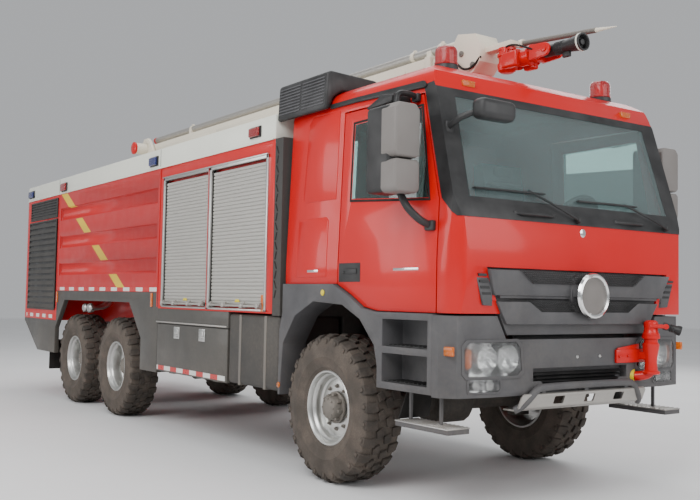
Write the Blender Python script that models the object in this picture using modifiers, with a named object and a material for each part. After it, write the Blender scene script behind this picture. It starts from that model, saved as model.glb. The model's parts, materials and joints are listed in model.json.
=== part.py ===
"""Airport fire truck: a six-wheeled cab-over chassis with a foam body and a roof boom.

The truck faces -Y and its right side is at -X. The origin is on the ground, under the
middle of the whole machine. Sizes are in metres. Distances called "aft" are measured
rearwards from the front axle.
"""

import math

import bmesh
import bpy
from mathutils import Matrix, Vector

# ---- driving dimensions -------------------------------------------------------------
LENGTH = 10.03  # over the bumper monitor and the rear ladder
FRONT_OVERHANG = 1.7891  # front axle to the foremost point
BODY_HALF = 1.25  # half the width over the body
WHEELBASE = 4.50  # front axle to first bogie axle
BOGIE_SPACING = 1.48
FIT_GAP = 0.0003  # between pieces that touch
MOVE_GAP = 0.006  # between pieces that move past each other

TYRE_RADIUS = 0.576
TYRE_HALF_WIDTH = 0.182
TREAD_HALF_WIDTH = 0.135
RIM_RADIUS = 0.292
BEAD_RADIUS = 0.270
BEAD_HALF = 0.125
WHEEL_X = 1.05  # centre plane of a tyre
RING_SEGMENTS = 24

KINGPIN_X = 0.95
KINGPIN_HALF_HEIGHT = 0.13
AXLE_TUBE_RADIUS = 0.09
DIFF_RADIUS = 0.19
SPINDLE_RADIUS = 0.08
FRONT_DISC_IN = 0.02  # inner face of the front wheel disc, outboard of the tyre centre
REAR_DISC_IN = -0.045

RAIL_X = 0.42
RAIL_WIDTH = 0.08
RAIL_BOTTOM = 0.78
RAIL_TOP = 1.04
RAIL_FRONT_AFT = -1.28
RAIL_REAR_AFT = 7.60

LADDER_DEPTH = 0.10
LOCKER_LENGTH = 2.40
TANK_LENGTH = 3.45
PUMP_LENGTH = 1.50
LOCKER_BOTTOM = 1.285
TANK_BOTTOM = 1.456
PUMP_BOTTOM = 1.05
BODY_TOP = 2.785
FASCIA_TOP = 3.00
FASCIA_WALL = 0.05
DECK_THICK = 0.035
KEEL_HALF = 0.60
CHANNEL_BOTTOMS = (1.66, 2.03, 2.41)
CHANNEL_HEIGHT = 0.17
CHANNEL_DEPTH = 0.035
BULKHEAD_THICK = 0.13
BULKHEAD_BOTTOM = 1.27

SKIRT_THICK = 0.06
SKIRT_BOTTOM = 0.604
ARCH_TOP = 1.335
ARCH_FRONT = 0.86  # first bogie axle to the arch's front wall
ARCH_FRONT_SLOPE = 0.36
ARCH_REAR = 0.69  # last axle to the arch's rear wall
ARCH_REAR_SLOPE = 0.37
ARCH_SHOULDER = 0.95
FLAP_LENGTH = 1.615
FLAP_BOTTOM = 0.63
FLAP_TOP = 1.13
FLAP_THICK = 0.04
LOWER_BOX_IN = 0.62  # inner face of the low lockers and tanks
SHUTTER_MARGIN = 0.11
SHUTTER_BOTTOM = 1.30
SHUTTER_TOP = 2.66
SHUTTER_FRAME = 0.06
SHUTTER_PROUD = 0.012
SHUTTER_RECESS = 0.06

CAB_HALF = 1.22
CAB_WALL = 0.06
CAB_REAR_AFT = 0.62
CAB_FRONT_AFT = -1.50
CAB_REAR_BOTTOM = 1.54
CAB_FRONT_BOTTOM = 1.345
CAB_CREASE = 1.69
CAB_TOP = 3.085
CAB_FLOOR = 1.62
CAB_TAPER = 0.04  # the sides lean in by this much for each metre over the crease
CAB_CORNER = 0.14
DOOR_REAR_AFT = -0.14
DOOR_FRONT_AFT = -1.315
DOOR_GAP = 0.012
GRILLE_HALF = 0.965
GRILLE_FOOT_HALF = 0.74
GRILLE_DEPTH = 0.06
GRILLE_TOP = 1.655
GRILLE_BOTTOM = 1.20

BUMPER_TOP = 1.33
BUMPER_MID_TOP = 1.17
BUMPER_BOTTOM = 0.79
BUMPER_FRONT_AFT = -1.50

BOOM_X = 0.10
SLEW_AFT = 6.10
PIVOT_AFT = 6.49
PIVOT_Z = 3.52
BOOM_HALF = 0.13
BOOM_BOTTOM = 3.295
BOOM_TOP = 3.575
BOOM_WALL = 0.02
BOOM_FRONT_AFT = 0.20
BOOM_REAR_AFT = 6.62
INNER_REAR_AFT = 5.20
SLIDE_GAP = 0.0005
PIN_GAP = 0.0008
PIPE_Z = 3.67
PIPE_RADIUS = 0.04
PIPE_BORE = 0.031
INNER_PIPE_RADIUS = 0.025
SHAFT_RADIUS = 0.08
EAR_IN = 0.145  # boom centre to the inner face of a turret ear
EAR_THICK = 0.04
CYLINDER_FOOT_AFT = 5.95
CYLINDER_FOOT_Z = 3.06
CYLINDER_EYE_AFT = 4.60
CYLINDER_EYE_Z = 3.20
BARREL_RADIUS = 0.05
ROD_RADIUS = 0.026
HEAD_FRONT_AFT = -0.42
PAN_AFT = -0.62
NOZZLE_PIVOT_AFT = -1.10
NOZZLE_Z = 3.38
NOZZLE_END_AFT = -1.42
SPIKE_X = 0.25
SPIKE_TIP_AFT = -1.60

BM_X = 0.66  # bumper monitor
BM_AFT = -1.60
BM_JOINT_Z = 1.19
BM_PIVOT_Z = 1.26

FRONT_AXLE_Y = -LENGTH / 2 + FRONT_OVERHANG
BODY_REAR_Y = LENGTH / 2 - LADDER_DEPTH
PUMP_FRONT_Y = BODY_REAR_Y - PUMP_LENGTH
TANK_FRONT_Y = PUMP_FRONT_Y - TANK_LENGTH
LOCKER_FRONT_Y = TANK_FRONT_Y - LOCKER_LENGTH
SIDES = {"right": -1, "left": 1}

scene_objects = list(bpy.data.objects)
for old in scene_objects:
    bpy.data.objects.remove(old, do_unlink=True)

parts = bpy.data.collections.new("airport_fire_truck")
tools = bpy.data.collections.new("cutters")
for group in (parts, tools):
    bpy.context.scene.collection.children.link(group)


# ---- helpers ------------------------------------------------------------------------
def aft(distance):
    """World Y of a point this far behind the front axle."""
    return FRONT_AXLE_Y + distance


def material(name, colour, roughness, metallic=0.0, alpha=1.0):
    """A Principled material, made once for each name."""
    found = bpy.data.materials.get(name)
    if found:
        return found
    made = bpy.data.materials.new(name)
    made.use_nodes = True
    made.diffuse_color = (*colour, alpha)
    shader = made.node_tree.nodes["Principled BSDF"]
    shader.inputs["Base Color"].default_value = (*colour, 1.0)
    shader.inputs["Roughness"].default_value = roughness
    shader.inputs["Metallic"].default_value = metallic
    shader.inputs["Alpha"].default_value = alpha
    return made


def red():
    return material("red_paint", (0.68, 0.02, 0.02), 0.3)


def off_white():
    return material("off_white_paint", (0.72, 0.71, 0.64), 0.4)


def dark_grey():
    return material("dark_grey_paint", (0.10, 0.10, 0.10), 0.5)


def grey_plastic():
    return material("grey_plastic", (0.09, 0.09, 0.10), 0.6)


def black_plastic():
    return material("black_plastic", (0.02, 0.02, 0.02), 0.6)


def rubber():
    return material("tyre_rubber", (0.03, 0.03, 0.03), 0.9)


def silver():
    return material("silver_metal", (0.55, 0.55, 0.54), 0.4, 0.8)


def chassis_black():
    return material("chassis_paint", (0.03, 0.03, 0.035), 0.6)


def glass():
    return material("window_glass", (0.10, 0.16, 0.17), 0.05, 0.0, 0.35)


def new_object(name, mesh):
    """An object for a mesh, in no collection yet."""
    return bpy.data.objects.new(name, mesh)


def keep(obj, name, finish, origin=None):
    """Make a solid one of the truck's named pieces, with its origin on its joint axis."""
    obj.name = name
    if origin is not None:
        obj.data.transform(Matrix.Translation(-Vector(origin)))
        obj.location = origin
    obj.data.name = name
    for home in list(obj.users_collection):
        home.objects.unlink(obj)
    parts.objects.link(obj)
    obj.data.materials.clear()
    obj.data.materials.append(finish)
    return obj


def as_tool(obj):
    """Hide a solid that only cuts or is joined to another."""
    for home in list(obj.users_collection):
        home.objects.unlink(obj)
    tools.objects.link(obj)
    obj.hide_render = True
    obj.display_type = "WIRE"
    return obj


def box(low, high):
    """A box between two corners."""
    bm = bmesh.new()
    bmesh.ops.create_cube(bm, size=1.0)
    size = [max(a, b) - min(a, b) for a, b in zip(low, high)]
    middle = [(a + b) / 2 for a, b in zip(low, high)]
    bmesh.ops.transform(bm, matrix=Matrix.Diagonal((*size, 1.0)), verts=bm.verts)
    bmesh.ops.translate(bm, vec=middle, verts=bm.verts)
    mesh = bpy.data.meshes.new("box")
    bm.to_mesh(mesh)
    bm.free()
    return new_object("box", mesh)


def turn_to(direction):
    """Rotation that takes +Z to a direction."""
    return Vector(direction).to_track_quat("Z", "Y").to_matrix().to_4x4()


def rod(start, end, radius, end_radius=None, segments=16):
    """A round bar, or a cone, from one point to another."""
    start, end = Vector(start), Vector(end)
    bm = bmesh.new()
    bmesh.ops.create_cone(
        bm,
        cap_ends=True,
        segments=segments,
        radius1=radius,
        radius2=radius if end_radius is None else end_radius,
        depth=(end - start).length,
    )
    place = Matrix.Translation((start + end) / 2) @ turn_to(end - start)
    bmesh.ops.transform(bm, matrix=place, verts=bm.verts)
    mesh = bpy.data.meshes.new("rod")
    bm.to_mesh(mesh)
    bm.free()
    smooth(mesh)
    return new_object("rod", mesh)


def smooth(mesh):
    """Shade round faces smooth and keep sharp corners."""
    mesh.shade_smooth()
    mesh.set_sharp_from_angle(angle=math.radians(40))


def curve_solid(curve, matrix):
    """Turn a filled curve into a welded closed mesh object, placed by a matrix."""
    holder = bpy.data.objects.new("curve", curve)
    bpy.context.scene.collection.objects.link(holder)
    holder.matrix_world = matrix
    bpy.context.view_layer.update()
    graph = bpy.context.evaluated_depsgraph_get()
    mesh = bpy.data.meshes.new_from_object(holder.evaluated_get(graph))
    bm = bmesh.new()
    bm.from_mesh(mesh)
    bmesh.ops.remove_doubles(bm, verts=bm.verts, dist=1e-5)
    bmesh.ops.transform(bm, matrix=matrix, verts=bm.verts)
    bm.to_mesh(mesh)
    bm.free()
    bpy.data.objects.remove(holder, do_unlink=True)
    return new_object("outline", mesh)


ACROSS = Matrix(((0, 0, 1, 0), (1, 0, 0, 0), (0, 1, 0, 0), (0, 0, 0, 1)))
ALONG = Matrix(((1, 0, 0, 0), (0, 0, -1, 0), (0, 1, 0, 0), (0, 0, 0, 1)))
UP = Matrix.Identity(4)


def outline(points, start, end, way=ACROSS):
    """A flat outline given a thickness.

    ACROSS takes (y, z) points and runs along X. ALONG takes (x, z) points and runs
    along Y. UP takes (x, y) points and runs along Z.
    """
    curve = bpy.data.curves.new("outline", "CURVE")
    curve.dimensions = "2D"
    curve.fill_mode = "BOTH"
    curve.extrude = abs(end - start) / 2
    spline = curve.splines.new("POLY")
    spline.points.add(len(points) - 1)
    for point, (a, b) in zip(spline.points, points):
        point.co = (a, b, 0.0, 1.0)
    spline.use_cyclic_u = True
    direction = {"X": (1, 0, 0), "Y": (0, 1, 0), "Z": (0, 0, 1)}
    letter = "X" if way is ACROSS else "Y" if way is ALONG else "Z"
    shift = Vector(direction[letter]) * ((start + end) / 2)
    return curve_solid(curve, Matrix.Translation(shift) @ way)


def pipe(points, radius, sides=2):
    """A round tube along a list of points."""
    curve = bpy.data.curves.new("pipe", "CURVE")
    curve.dimensions = "3D"
    curve.bevel_depth = radius
    curve.bevel_resolution = sides
    curve.use_fill_caps = True
    spline = curve.splines.new("POLY")
    spline.points.add(len(points) - 1)
    for point, place in zip(spline.points, points):
        point.co = (*place, 1.0)
    made = curve_solid(curve, Matrix.Identity(4))
    smooth(made.data)
    return made


def turned(profile, centre, direction, segments=RING_SEGMENTS):
    """A turned shape: (radius, height) points from the top down the outer side."""
    mesh = bpy.data.meshes.new("turned")
    closed = profile[0][0] > 0
    count = len(profile)
    edges = [(i, i + 1) for i in range(count - 1)]
    if closed:
        edges.append((count - 1, 0))
    mesh.from_pydata([(r, 0.0, h) for r, h in profile], edges, [])
    obj = new_object("turned", mesh)
    obj.matrix_world = Matrix.Translation(centre) @ turn_to(direction)
    screw = obj.modifiers.new("turn", "SCREW")
    screw.axis = "Z"
    screw.steps = segments
    screw.render_steps = segments
    screw.use_merge_vertices = True
    screw.merge_threshold = 0.00001
    screw.use_smooth_shade = True
    return obj


def combine(obj, tool, operation):
    """Cut or join a solid with another through a Boolean modifier."""
    step = obj.modifiers.new(operation.lower(), "BOOLEAN")
    step.operation = operation
    step.object = as_tool(tool)
    step.solver = "EXACT"
    return obj


def join(obj, *others):
    for other in others:
        combine(obj, other, "UNION")
    return obj


def cut(obj, *others):
    for other in others:
        combine(obj, other, "DIFFERENCE")
    return obj


def frozen(obj):
    """A new object with the modifiers of another worked into its mesh."""
    bpy.context.scene.collection.objects.link(obj)
    bpy.context.view_layer.update()
    graph = bpy.context.evaluated_depsgraph_get()
    mesh = bpy.data.meshes.new_from_object(obj.evaluated_get(graph))
    mesh.transform(obj.matrix_world)
    bpy.context.scene.collection.objects.unlink(obj)
    return new_object("solid", mesh)


def copy_of(obj):
    return new_object("copy", obj.data.copy())


# ---- running gear -------------------------------------------------------------------
def tyre_profile():
    """Closed loop of (radius, height) for a tyre, outer side first."""
    seat = BEAD_RADIUS + FIT_GAP
    bead = RIM_RADIUS + FIT_GAP
    wide = TYRE_HALF_WIDTH
    upper = [
        (seat, BEAD_HALF),
        (bead, BEAD_HALF),
        (bead + 0.035, wide - 0.018),
        (RIM_RADIUS + 0.15, wide),
        (TYRE_RADIUS - 0.04, wide - 0.012),
        (TYRE_RADIUS - 0.008, TREAD_HALF_WIDTH + 0.012),
        (TYRE_RADIUS, TREAD_HALF_WIDTH),
    ]
    lower = [(radius, -height) for radius, height in reversed(upper)]
    return upper + lower


def rim_profile(face, disc_in):
    """Rim section: its face, then the tyre seat, then the hollow back of the disc."""
    flange = BEAD_HALF + FIT_GAP
    seat = [
        (RIM_RADIUS, 0.140),
        (RIM_RADIUS, flange),
        (BEAD_RADIUS, flange),
        (BEAD_RADIUS, -flange),
        (RIM_RADIUS, -flange),
        (RIM_RADIUS, -0.140),
        (0.258, -0.140),
        (0.248, -0.100),
        (0.232, disc_in),
        (0.0, disc_in),
    ]
    return face + seat


FRONT_FACE = [
    (0.0, 0.135),
    (0.085, 0.135),
    (0.105, 0.110),
    (0.110, 0.055),
    (0.175, 0.050),
    (0.212, 0.040),
    (0.235, 0.060),
    (0.255, 0.125),
]
REAR_FACE = [
    (0.0, 0.075),
    (0.085, 0.075),
    (0.105, 0.055),
    (0.110, 0.000),
    (0.180, -0.010),
    (0.212, -0.020),
    (0.240, 0.010),
    (0.255, 0.125),
]


def wheel(end, side, y, face, disc_in):
    """A tyre and its rim, which turn together."""
    centre = (SIDES[side] * WHEEL_X, y, TYRE_RADIUS)
    outward = (SIDES[side], 0, 0)
    keep(turned(tyre_profile(), centre, outward), f"tyre_{end}_{side}", rubber())
    rim = turned(rim_profile(face, disc_in), centre, outward)
    keep(rim, f"rim_{end}_{side}", silver())


def knuckle(side):
    """Steering knuckle: the kingpin block and the spindle that carries the hub."""
    s = SIDES[side]
    y, z = FRONT_AXLE_Y, TYRE_RADIUS
    reach = KINGPIN_HALF_HEIGHT
    block = box((s * 0.91, y - 0.05, z - reach), (s * 0.99, y + 0.05, z + reach))
    end = s * (WHEEL_X + FRONT_DISC_IN - FIT_GAP)
    join(block, rod((s * 0.96, y, z), (end, y, z), SPINDLE_RADIUS))
    keep(block, f"steering_knuckle_{side}", chassis_black(), (s * KINGPIN_X, y, z))


def leaf_pack(s, y, ends_z, middle_z, thickness, half_length):
    """A leaf spring seen from the side as a bowed bar."""
    top, bottom = [], []
    for i in range(7):
        share = -1 + i / 3
        z = middle_z + (ends_z - middle_z) * share * share
        top.append((y + share * half_length, z))
        bottom.append((y + share * half_length, z - thickness * (1.25 - abs(share))))
    inner, outer = s * (RAIL_X - 0.035), s * (RAIL_X + 0.035)
    return outline(top + bottom[::-1], inner, outer)


def front_axle():
    """Driven beam with its differential, yokes for the kingpins and two leaf springs."""
    y, z = FRONT_AXLE_Y, TYRE_RADIUS
    beam = rod((-0.86, y, z), (0.86, y, z), AXLE_TUBE_RADIUS)
    join(beam, rod((-0.17, y, z), (0.17, y, z), DIFF_RADIUS))
    inner = KINGPIN_HALF_HEIGHT + FIT_GAP
    outer = inner + 0.04
    for s in SIDES.values():
        join(beam, box((s * 0.81, y - 0.05, z - outer), (s * 0.876, y + 0.05, z + outer)))
        for low, high in ((-outer, -inner), (inner, outer)):
            join(beam, box((s * 0.84, y - 0.05, z + low), (s * 0.985, y + 0.05, z + high)))
        join(beam, leaf_pack(s, y, RAIL_BOTTOM - FIT_GAP, 0.715, 0.07, 0.70))
    keep(beam, "front_axle", chassis_black())


def rear_bogie():
    """Two driven axles and the springs that rock between them."""
    z = TYRE_RADIUS
    first = aft(WHEELBASE)
    last = first + BOGIE_SPACING
    end = WHEEL_X + REAR_DISC_IN - FIT_GAP
    bogie = None
    for y in (first, last):
        beam = rod((-0.98, y, z), (0.98, y, z), AXLE_TUBE_RADIUS)
        join(beam, rod((-0.17, y, z), (0.17, y, z), DIFF_RADIUS))
        join(beam, rod((-end, y, z), (end, y, z), SPINDLE_RADIUS))
        if bogie is None:
            bogie = beam
        else:
            join(bogie, frozen(beam))
    middle = (first + last) / 2
    for s in SIDES.values():
        spring = leaf_pack(s, middle, 0.64, RAIL_BOTTOM - FIT_GAP, 0.07, 0.86)
        join(bogie, spring)
    shaft = rod((0, first, z), (0, last, z), 0.05)
    join(bogie, shaft)
    keep(bogie, "rear_bogie", chassis_black())


def frame_rails():
    """Two rails tied by cross members, with the transfer case and the rear guard."""
    front, rear = aft(RAIL_FRONT_AFT), aft(RAIL_REAR_AFT)
    half = RAIL_WIDTH / 2
    rails = [
        box((s * (RAIL_X - half), front, RAIL_BOTTOM), (s * (RAIL_X + half), rear, RAIL_TOP))
        for s in SIDES.values()
    ]
    frame = rails[0]
    join(frame, rails[1])
    inner = RAIL_X - half + 0.01
    for distance in (-1.20, 1.15, 3.20, 4.95, 7.50):
        y = aft(distance)
        join(frame, box((-inner, y - 0.05, 0.84), (inner, y + 0.05, 1.00)))
    for s in SIDES.values():
        inner_x, outer_x = s * (RAIL_X - 0.03), s * (RAIL_X + 0.03)
        for distance, top in ((-1.20, CAB_FRONT_BOTTOM), (0.45, CAB_REAR_BOTTOM)):
            low = (inner_x, aft(distance) - 0.05, RAIL_TOP - 0.01)
            join(frame, box(low, (outer_x, aft(distance) + 0.05, top - FIT_GAP)))
    case_y = aft(2.30)
    join(frame, box((-inner, case_y - 0.20, 0.70), (inner, case_y + 0.20, 0.98)))
    guard_y = aft(RAIL_REAR_AFT)
    join(frame, box((-1.10, guard_y - 0.10, 0.66), (1.10, guard_y - 0.02, 0.74)))
    for s in SIDES.values():
        post = box((s * 0.40, guard_y - 0.09, 0.70), (s * 0.44, guard_y - 0.03, 0.80))
        join(frame, post)
    keep(frame, "frame_rails", chassis_black())


def engine_block():
    """The engine as one plain block between the rails, under the cab."""
    half = RAIL_X - RAIL_WIDTH / 2 - FIT_GAP
    low = (-half, aft(-0.55), 0.80)
    keep(box(low, (half, aft(0.55), 1.32)), "engine_block", chassis_black())


# ---- body ---------------------------------------------------------------------------
def locker_body():
    """Front body section with a recess on each side for the roller shutters."""
    rear = TANK_FRONT_Y
    body = box((-BODY_HALF, LOCKER_FRONT_Y, LOCKER_BOTTOM), (BODY_HALF, rear, BODY_TOP))
    keel = box((-KEEL_HALF, LOCKER_FRONT_Y, RAIL_TOP + FIT_GAP), (KEEL_HALF, rear, 1.40))
    join(body, keel)
    for s in SIDES.values():
        low = (s * (BODY_HALF - SHUTTER_RECESS), LOCKER_FRONT_Y + SHUTTER_MARGIN, SHUTTER_BOTTOM)
        high = (s * (BODY_HALF + 0.1), rear - SHUTTER_MARGIN, SHUTTER_TOP)
        cut(body, box(low, high))
    keep(body, "locker_body", red())


def shutters(side):
    """Two closed roller shutters in one aluminium frame."""
    s = SIDES[side]
    front = LOCKER_FRONT_Y + SHUTTER_MARGIN + FIT_GAP
    rear = TANK_FRONT_Y - SHUTTER_MARGIN - FIT_GAP
    back = s * (BODY_HALF - SHUTTER_RECESS + FIT_GAP)
    face = s * (BODY_HALF + SHUTTER_PROUD)
    bottom, top = SHUTTER_BOTTOM + FIT_GAP, SHUTTER_TOP - FIT_GAP
    frame = box((back, front, bottom), (face, rear, top))
    middle = (front + rear) / 2
    half = SHUTTER_FRAME / 2
    curtain = s * (BODY_HALF - 0.025)
    for a, b in ((front + SHUTTER_FRAME, middle - half), (middle + half, rear - SHUTTER_FRAME)):
        low = (curtain, a, bottom + SHUTTER_FRAME)
        cut(frame, box(low, (s * (BODY_HALF + 0.1), b, top - SHUTTER_FRAME)))
    keep(frame, f"roller_shutters_{side}", silver())


def tank_body():
    """Water tank section: red sides with three shallow channels between raised bands."""
    front, rear = TANK_FRONT_Y + FIT_GAP, PUMP_FRONT_Y
    body = box((-BODY_HALF, front, TANK_BOTTOM), (BODY_HALF, rear, BODY_TOP))
    join(body, box((-KEEL_HALF, front, RAIL_TOP + FIT_GAP), (KEEL_HALF, rear, 1.60)))
    for s in SIDES.values():
        floor, face = s * (BODY_HALF - CHANNEL_DEPTH), s * (BODY_HALF + 0.05)
        for low_z in CHANNEL_BOTTOMS:
            high_z = low_z + CHANNEL_HEIGHT
            section = [
                (face, low_z - 0.04),
                (floor, low_z + 0.03),
                (floor, high_z - 0.01),
                (face, high_z + 0.02),
            ]
            cut(body, outline(section, front + 0.07, rear - 0.07, ALONG))
    keep(body, "tank_body", red())


def pump_body():
    """Rear section with louvred panels let into its sides and a shutter at the back."""
    front, rear = PUMP_FRONT_Y + FIT_GAP, BODY_REAR_Y
    body = box((-BODY_HALF, front, PUMP_BOTTOM), (BODY_HALF, rear, BODY_TOP))
    for s in SIDES.values():
        for low_z, high_z in ((2.49, 2.74), (1.21, 2.455)):
            low = (s * (BODY_HALF - 0.03), front + 0.05, low_z)
            cut(body, box(low, (s * (BODY_HALF + 0.1), rear - 0.17, high_z)))
    cut(body, box((-0.60, rear - 0.04, 1.30), (1.05, rear + 0.1, 2.60)))
    keep(body, "pump_body", red())


def roof_fascia():
    """Off-white parapet round a sunken roof deck, with a rest for the boom."""
    low_z = BODY_TOP + FIT_GAP
    front, rear = LOCKER_FRONT_Y, BODY_REAR_Y
    tray = box((-BODY_HALF, front, low_z), (BODY_HALF, rear, FASCIA_TOP))
    inner = BODY_HALF - FASCIA_WALL
    deck = low_z + DECK_THICK
    hollow = box((-inner, front + FASCIA_WALL, deck), (inner, rear - FASCIA_WALL, FASCIA_TOP + 0.1))
    cut(tray, hollow)
    rest_y = LOCKER_FRONT_Y + 0.30
    top = BOOM_BOTTOM - MOVE_GAP
    for x in (BOOM_X - 0.22, BOOM_X + 0.18):
        join(tray, box((x, rest_y - 0.03, deck - 0.01), (x + 0.04, rest_y + 0.03, top)))
    bar = box((BOOM_X - 0.22, rest_y - 0.03, top - 0.05), (BOOM_X + 0.22, rest_y + 0.03, top))
    join(tray, bar)
    keep(tray, "roof_fascia", off_white())


def front_bulkhead():
    """Dark grey wall and corner columns between the cab and the lockers."""
    rear = LOCKER_FRONT_Y - FIT_GAP
    front = rear - BULKHEAD_THICK
    wall = box((-BODY_HALF, front, BULKHEAD_BOTTOM), (BODY_HALF, rear, BODY_TOP))
    join(wall, box((-KEEL_HALF, front, RAIL_TOP + FIT_GAP), (KEEL_HALF, rear, 1.40)))
    keep(wall, "front_bulkhead", dark_grey())


def skirt(side):
    """Lower side panel with the bogie arch, and the low locker behind the flap door."""
    s = SIDES[side]
    first = aft(WHEELBASE)
    last = first + BOGIE_SPACING
    flap_front = TANK_FRONT_Y - FLAP_LENGTH
    top = LOCKER_BOTTOM - FIT_GAP
    step = PUMP_FRONT_Y
    rear = BODY_REAR_Y
    points = [
        (flap_front, top),
        (TANK_FRONT_Y + FIT_GAP, top),
        (TANK_FRONT_Y + FIT_GAP, TANK_BOTTOM - FIT_GAP),
        (step, TANK_BOTTOM - FIT_GAP),
        (step, PUMP_BOTTOM - FIT_GAP),
        (rear, PUMP_BOTTOM - FIT_GAP),
        (rear, PUMP_BOTTOM - 0.036),
        (rear - 0.68, SKIRT_BOTTOM),
        (last + ARCH_REAR, SKIRT_BOTTOM),
        (last + ARCH_REAR, ARCH_SHOULDER),
        (last + ARCH_REAR - ARCH_REAR_SLOPE, ARCH_TOP),
        (first - ARCH_FRONT + ARCH_FRONT_SLOPE, ARCH_TOP),
        (first - ARCH_FRONT, ARCH_SHOULDER),
        (first - ARCH_FRONT, SKIRT_BOTTOM),
        (TANK_FRONT_Y, SKIRT_BOTTOM),
        (TANK_FRONT_Y, FLAP_TOP),
        (flap_front, FLAP_TOP),
    ]
    panel = outline(points, s * (BODY_HALF - SKIRT_THICK), s * BODY_HALF)
    face = s * (BODY_HALF - FLAP_THICK - MOVE_GAP)
    front, back = flap_front + 0.01, TANK_FRONT_Y + 0.04
    join(panel, box((face, front, 0.66), (s * LOWER_BOX_IN, back, top)))
    wall = 0.035
    low = (s * (BODY_HALF + 0.1), front + wall, 0.66 + wall)
    cut(panel, box(low, (s * (LOWER_BOX_IN + wall), TANK_FRONT_Y - wall, FLAP_TOP - wall)))
    hinge_x = s * (BODY_HALF - FLAP_THICK - FIT_GAP)
    lug_end = s * (RAIL_X + RAIL_WIDTH / 2 + FIT_GAP)
    for y in (flap_front + 0.30, TANK_FRONT_Y - 0.30):
        join(panel, box((s * 1.15, y - 0.06, FLAP_BOTTOM - 0.015), (hinge_x, y + 0.06, 0.67)))
        join(panel, box((s * (LOWER_BOX_IN + 0.01), y - 0.05, 0.85), (lug_end, y + 0.05, 0.97)))
    keep(panel, f"skirt_{side}", dark_grey())


def flap_door(side):
    """Fold-down step door hinged along its lower edge."""
    s = SIDES[side]
    front = TANK_FRONT_Y - FLAP_LENGTH + MOVE_GAP
    rear = TANK_FRONT_Y - MOVE_GAP
    low = (s * (BODY_HALF - FLAP_THICK), front, FLAP_BOTTOM)
    door = box(low, (s * BODY_HALF, rear, FLAP_TOP - MOVE_GAP))
    keep(door, f"flap_door_{side}", dark_grey(), (s * BODY_HALF, (front + rear) / 2, FLAP_BOTTOM))


def side_tank(name, side):
    """Tank hung between the front wheel and the flap door."""
    s = SIDES[side]
    front = LOCKER_FRONT_Y - 0.12
    rear = TANK_FRONT_Y - FLAP_LENGTH - MOVE_GAP
    low = (s * LOWER_BOX_IN, front, 0.64)
    tank = box(low, (s * (BODY_HALF - 0.005), rear, BULKHEAD_BOTTOM - FIT_GAP))
    bevel = tank.modifiers.new("round", "BEVEL")
    bevel.width = 0.03
    bevel.segments = 2
    bevel.limit_method = "ANGLE"
    lug_end = s * (RAIL_X + RAIL_WIDTH / 2 + FIT_GAP)
    for y in (front + 0.20, rear - 0.20):
        lug = box((s * (LOWER_BOX_IN + 0.05), y - 0.04, 0.86), (lug_end, y + 0.04, 0.96))
        join(tank, lug)
    keep(tank, name, dark_grey())


def rear_ladder():
    """Ladder to the roof on the right half of the back."""
    back = BODY_REAR_Y
    rail_y = back + LADDER_DEPTH - 0.02
    stiles = (-0.72, -1.10)
    ladder = None
    for x in stiles:
        stile = box((x - 0.02, rail_y - 0.02, 1.10), (x + 0.02, rail_y + 0.02, 2.98))
        for z in (1.20, 2.68):
            foot = box((x - 0.02, back + FIT_GAP, z - 0.02), (x + 0.02, rail_y, z + 0.02))
            join(stile, foot)
        if ladder is None:
            ladder = stile
        else:
            join(ladder, frozen(stile))
    for i in range(6):
        z = 1.25 + 0.30 * i
        rung = box((stiles[1], rail_y - 0.014, z - 0.014), (stiles[0], rail_y + 0.014, z + 0.014))
        join(ladder, rung)
    keep(ladder, "rear_ladder", silver())


# ---- cab ----------------------------------------------------------------------------
def front_view(half, bottom, top, corner):
    """Cab seen from the front: upright to the crease, leaning in above, round on top."""
    points = [(half, bottom), (half, CAB_CREASE)]
    steps = 4
    for i in range(steps + 1):
        angle = math.pi / 2 * i / steps
        z = top - corner + corner * math.sin(angle)
        lean = CAB_TAPER * (z - CAB_CREASE)
        points.append((half - lean - corner + corner * math.cos(angle), z))
    return points + [(-x, z) for x, z in reversed(points)]


def plan_view():
    """Cab seen from above, with round front corners."""
    front, rear = aft(-1.70), aft(1.0)
    corner_y = aft(CAB_FRONT_AFT) - 0.02
    points = [(CAB_HALF, rear)]
    steps = 4
    for i in range(steps + 1):
        angle = math.pi / 2 * i / steps
        x = CAB_HALF - CAB_CORNER + CAB_CORNER * math.cos(angle)
        points.append((x, corner_y + CAB_CORNER - CAB_CORNER * math.sin(angle)))
    points.append((0.7, front))
    return points + [(-x, y) for x, y in reversed(points)]


def cab_outline():
    """Side view of the cab, from the rear foot over the roof to the arch."""
    rear, front = aft(CAB_REAR_AFT), aft(CAB_FRONT_AFT)
    return [
        (rear, CAB_REAR_BOTTOM),
        (rear, CAB_TOP - 0.155),
        (rear - 0.10, CAB_TOP - 0.03),
        (rear - 0.30, CAB_TOP),
        (front + 0.43, CAB_TOP),
        (front + 0.33, CAB_TOP - 0.065),
        (front + 0.27, CAB_TOP - 0.215),
        (front + 0.05, 2.11),
        (front, 1.97),
        (front - 0.02, 1.66),
        (front + 0.01, CAB_FRONT_BOTTOM),
        (aft(-0.66), CAB_FRONT_BOTTOM),
        (aft(-0.50), 1.37),
        (aft(-0.33), 1.46),
        (aft(-0.14), CAB_REAR_BOTTOM),
    ]


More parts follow.
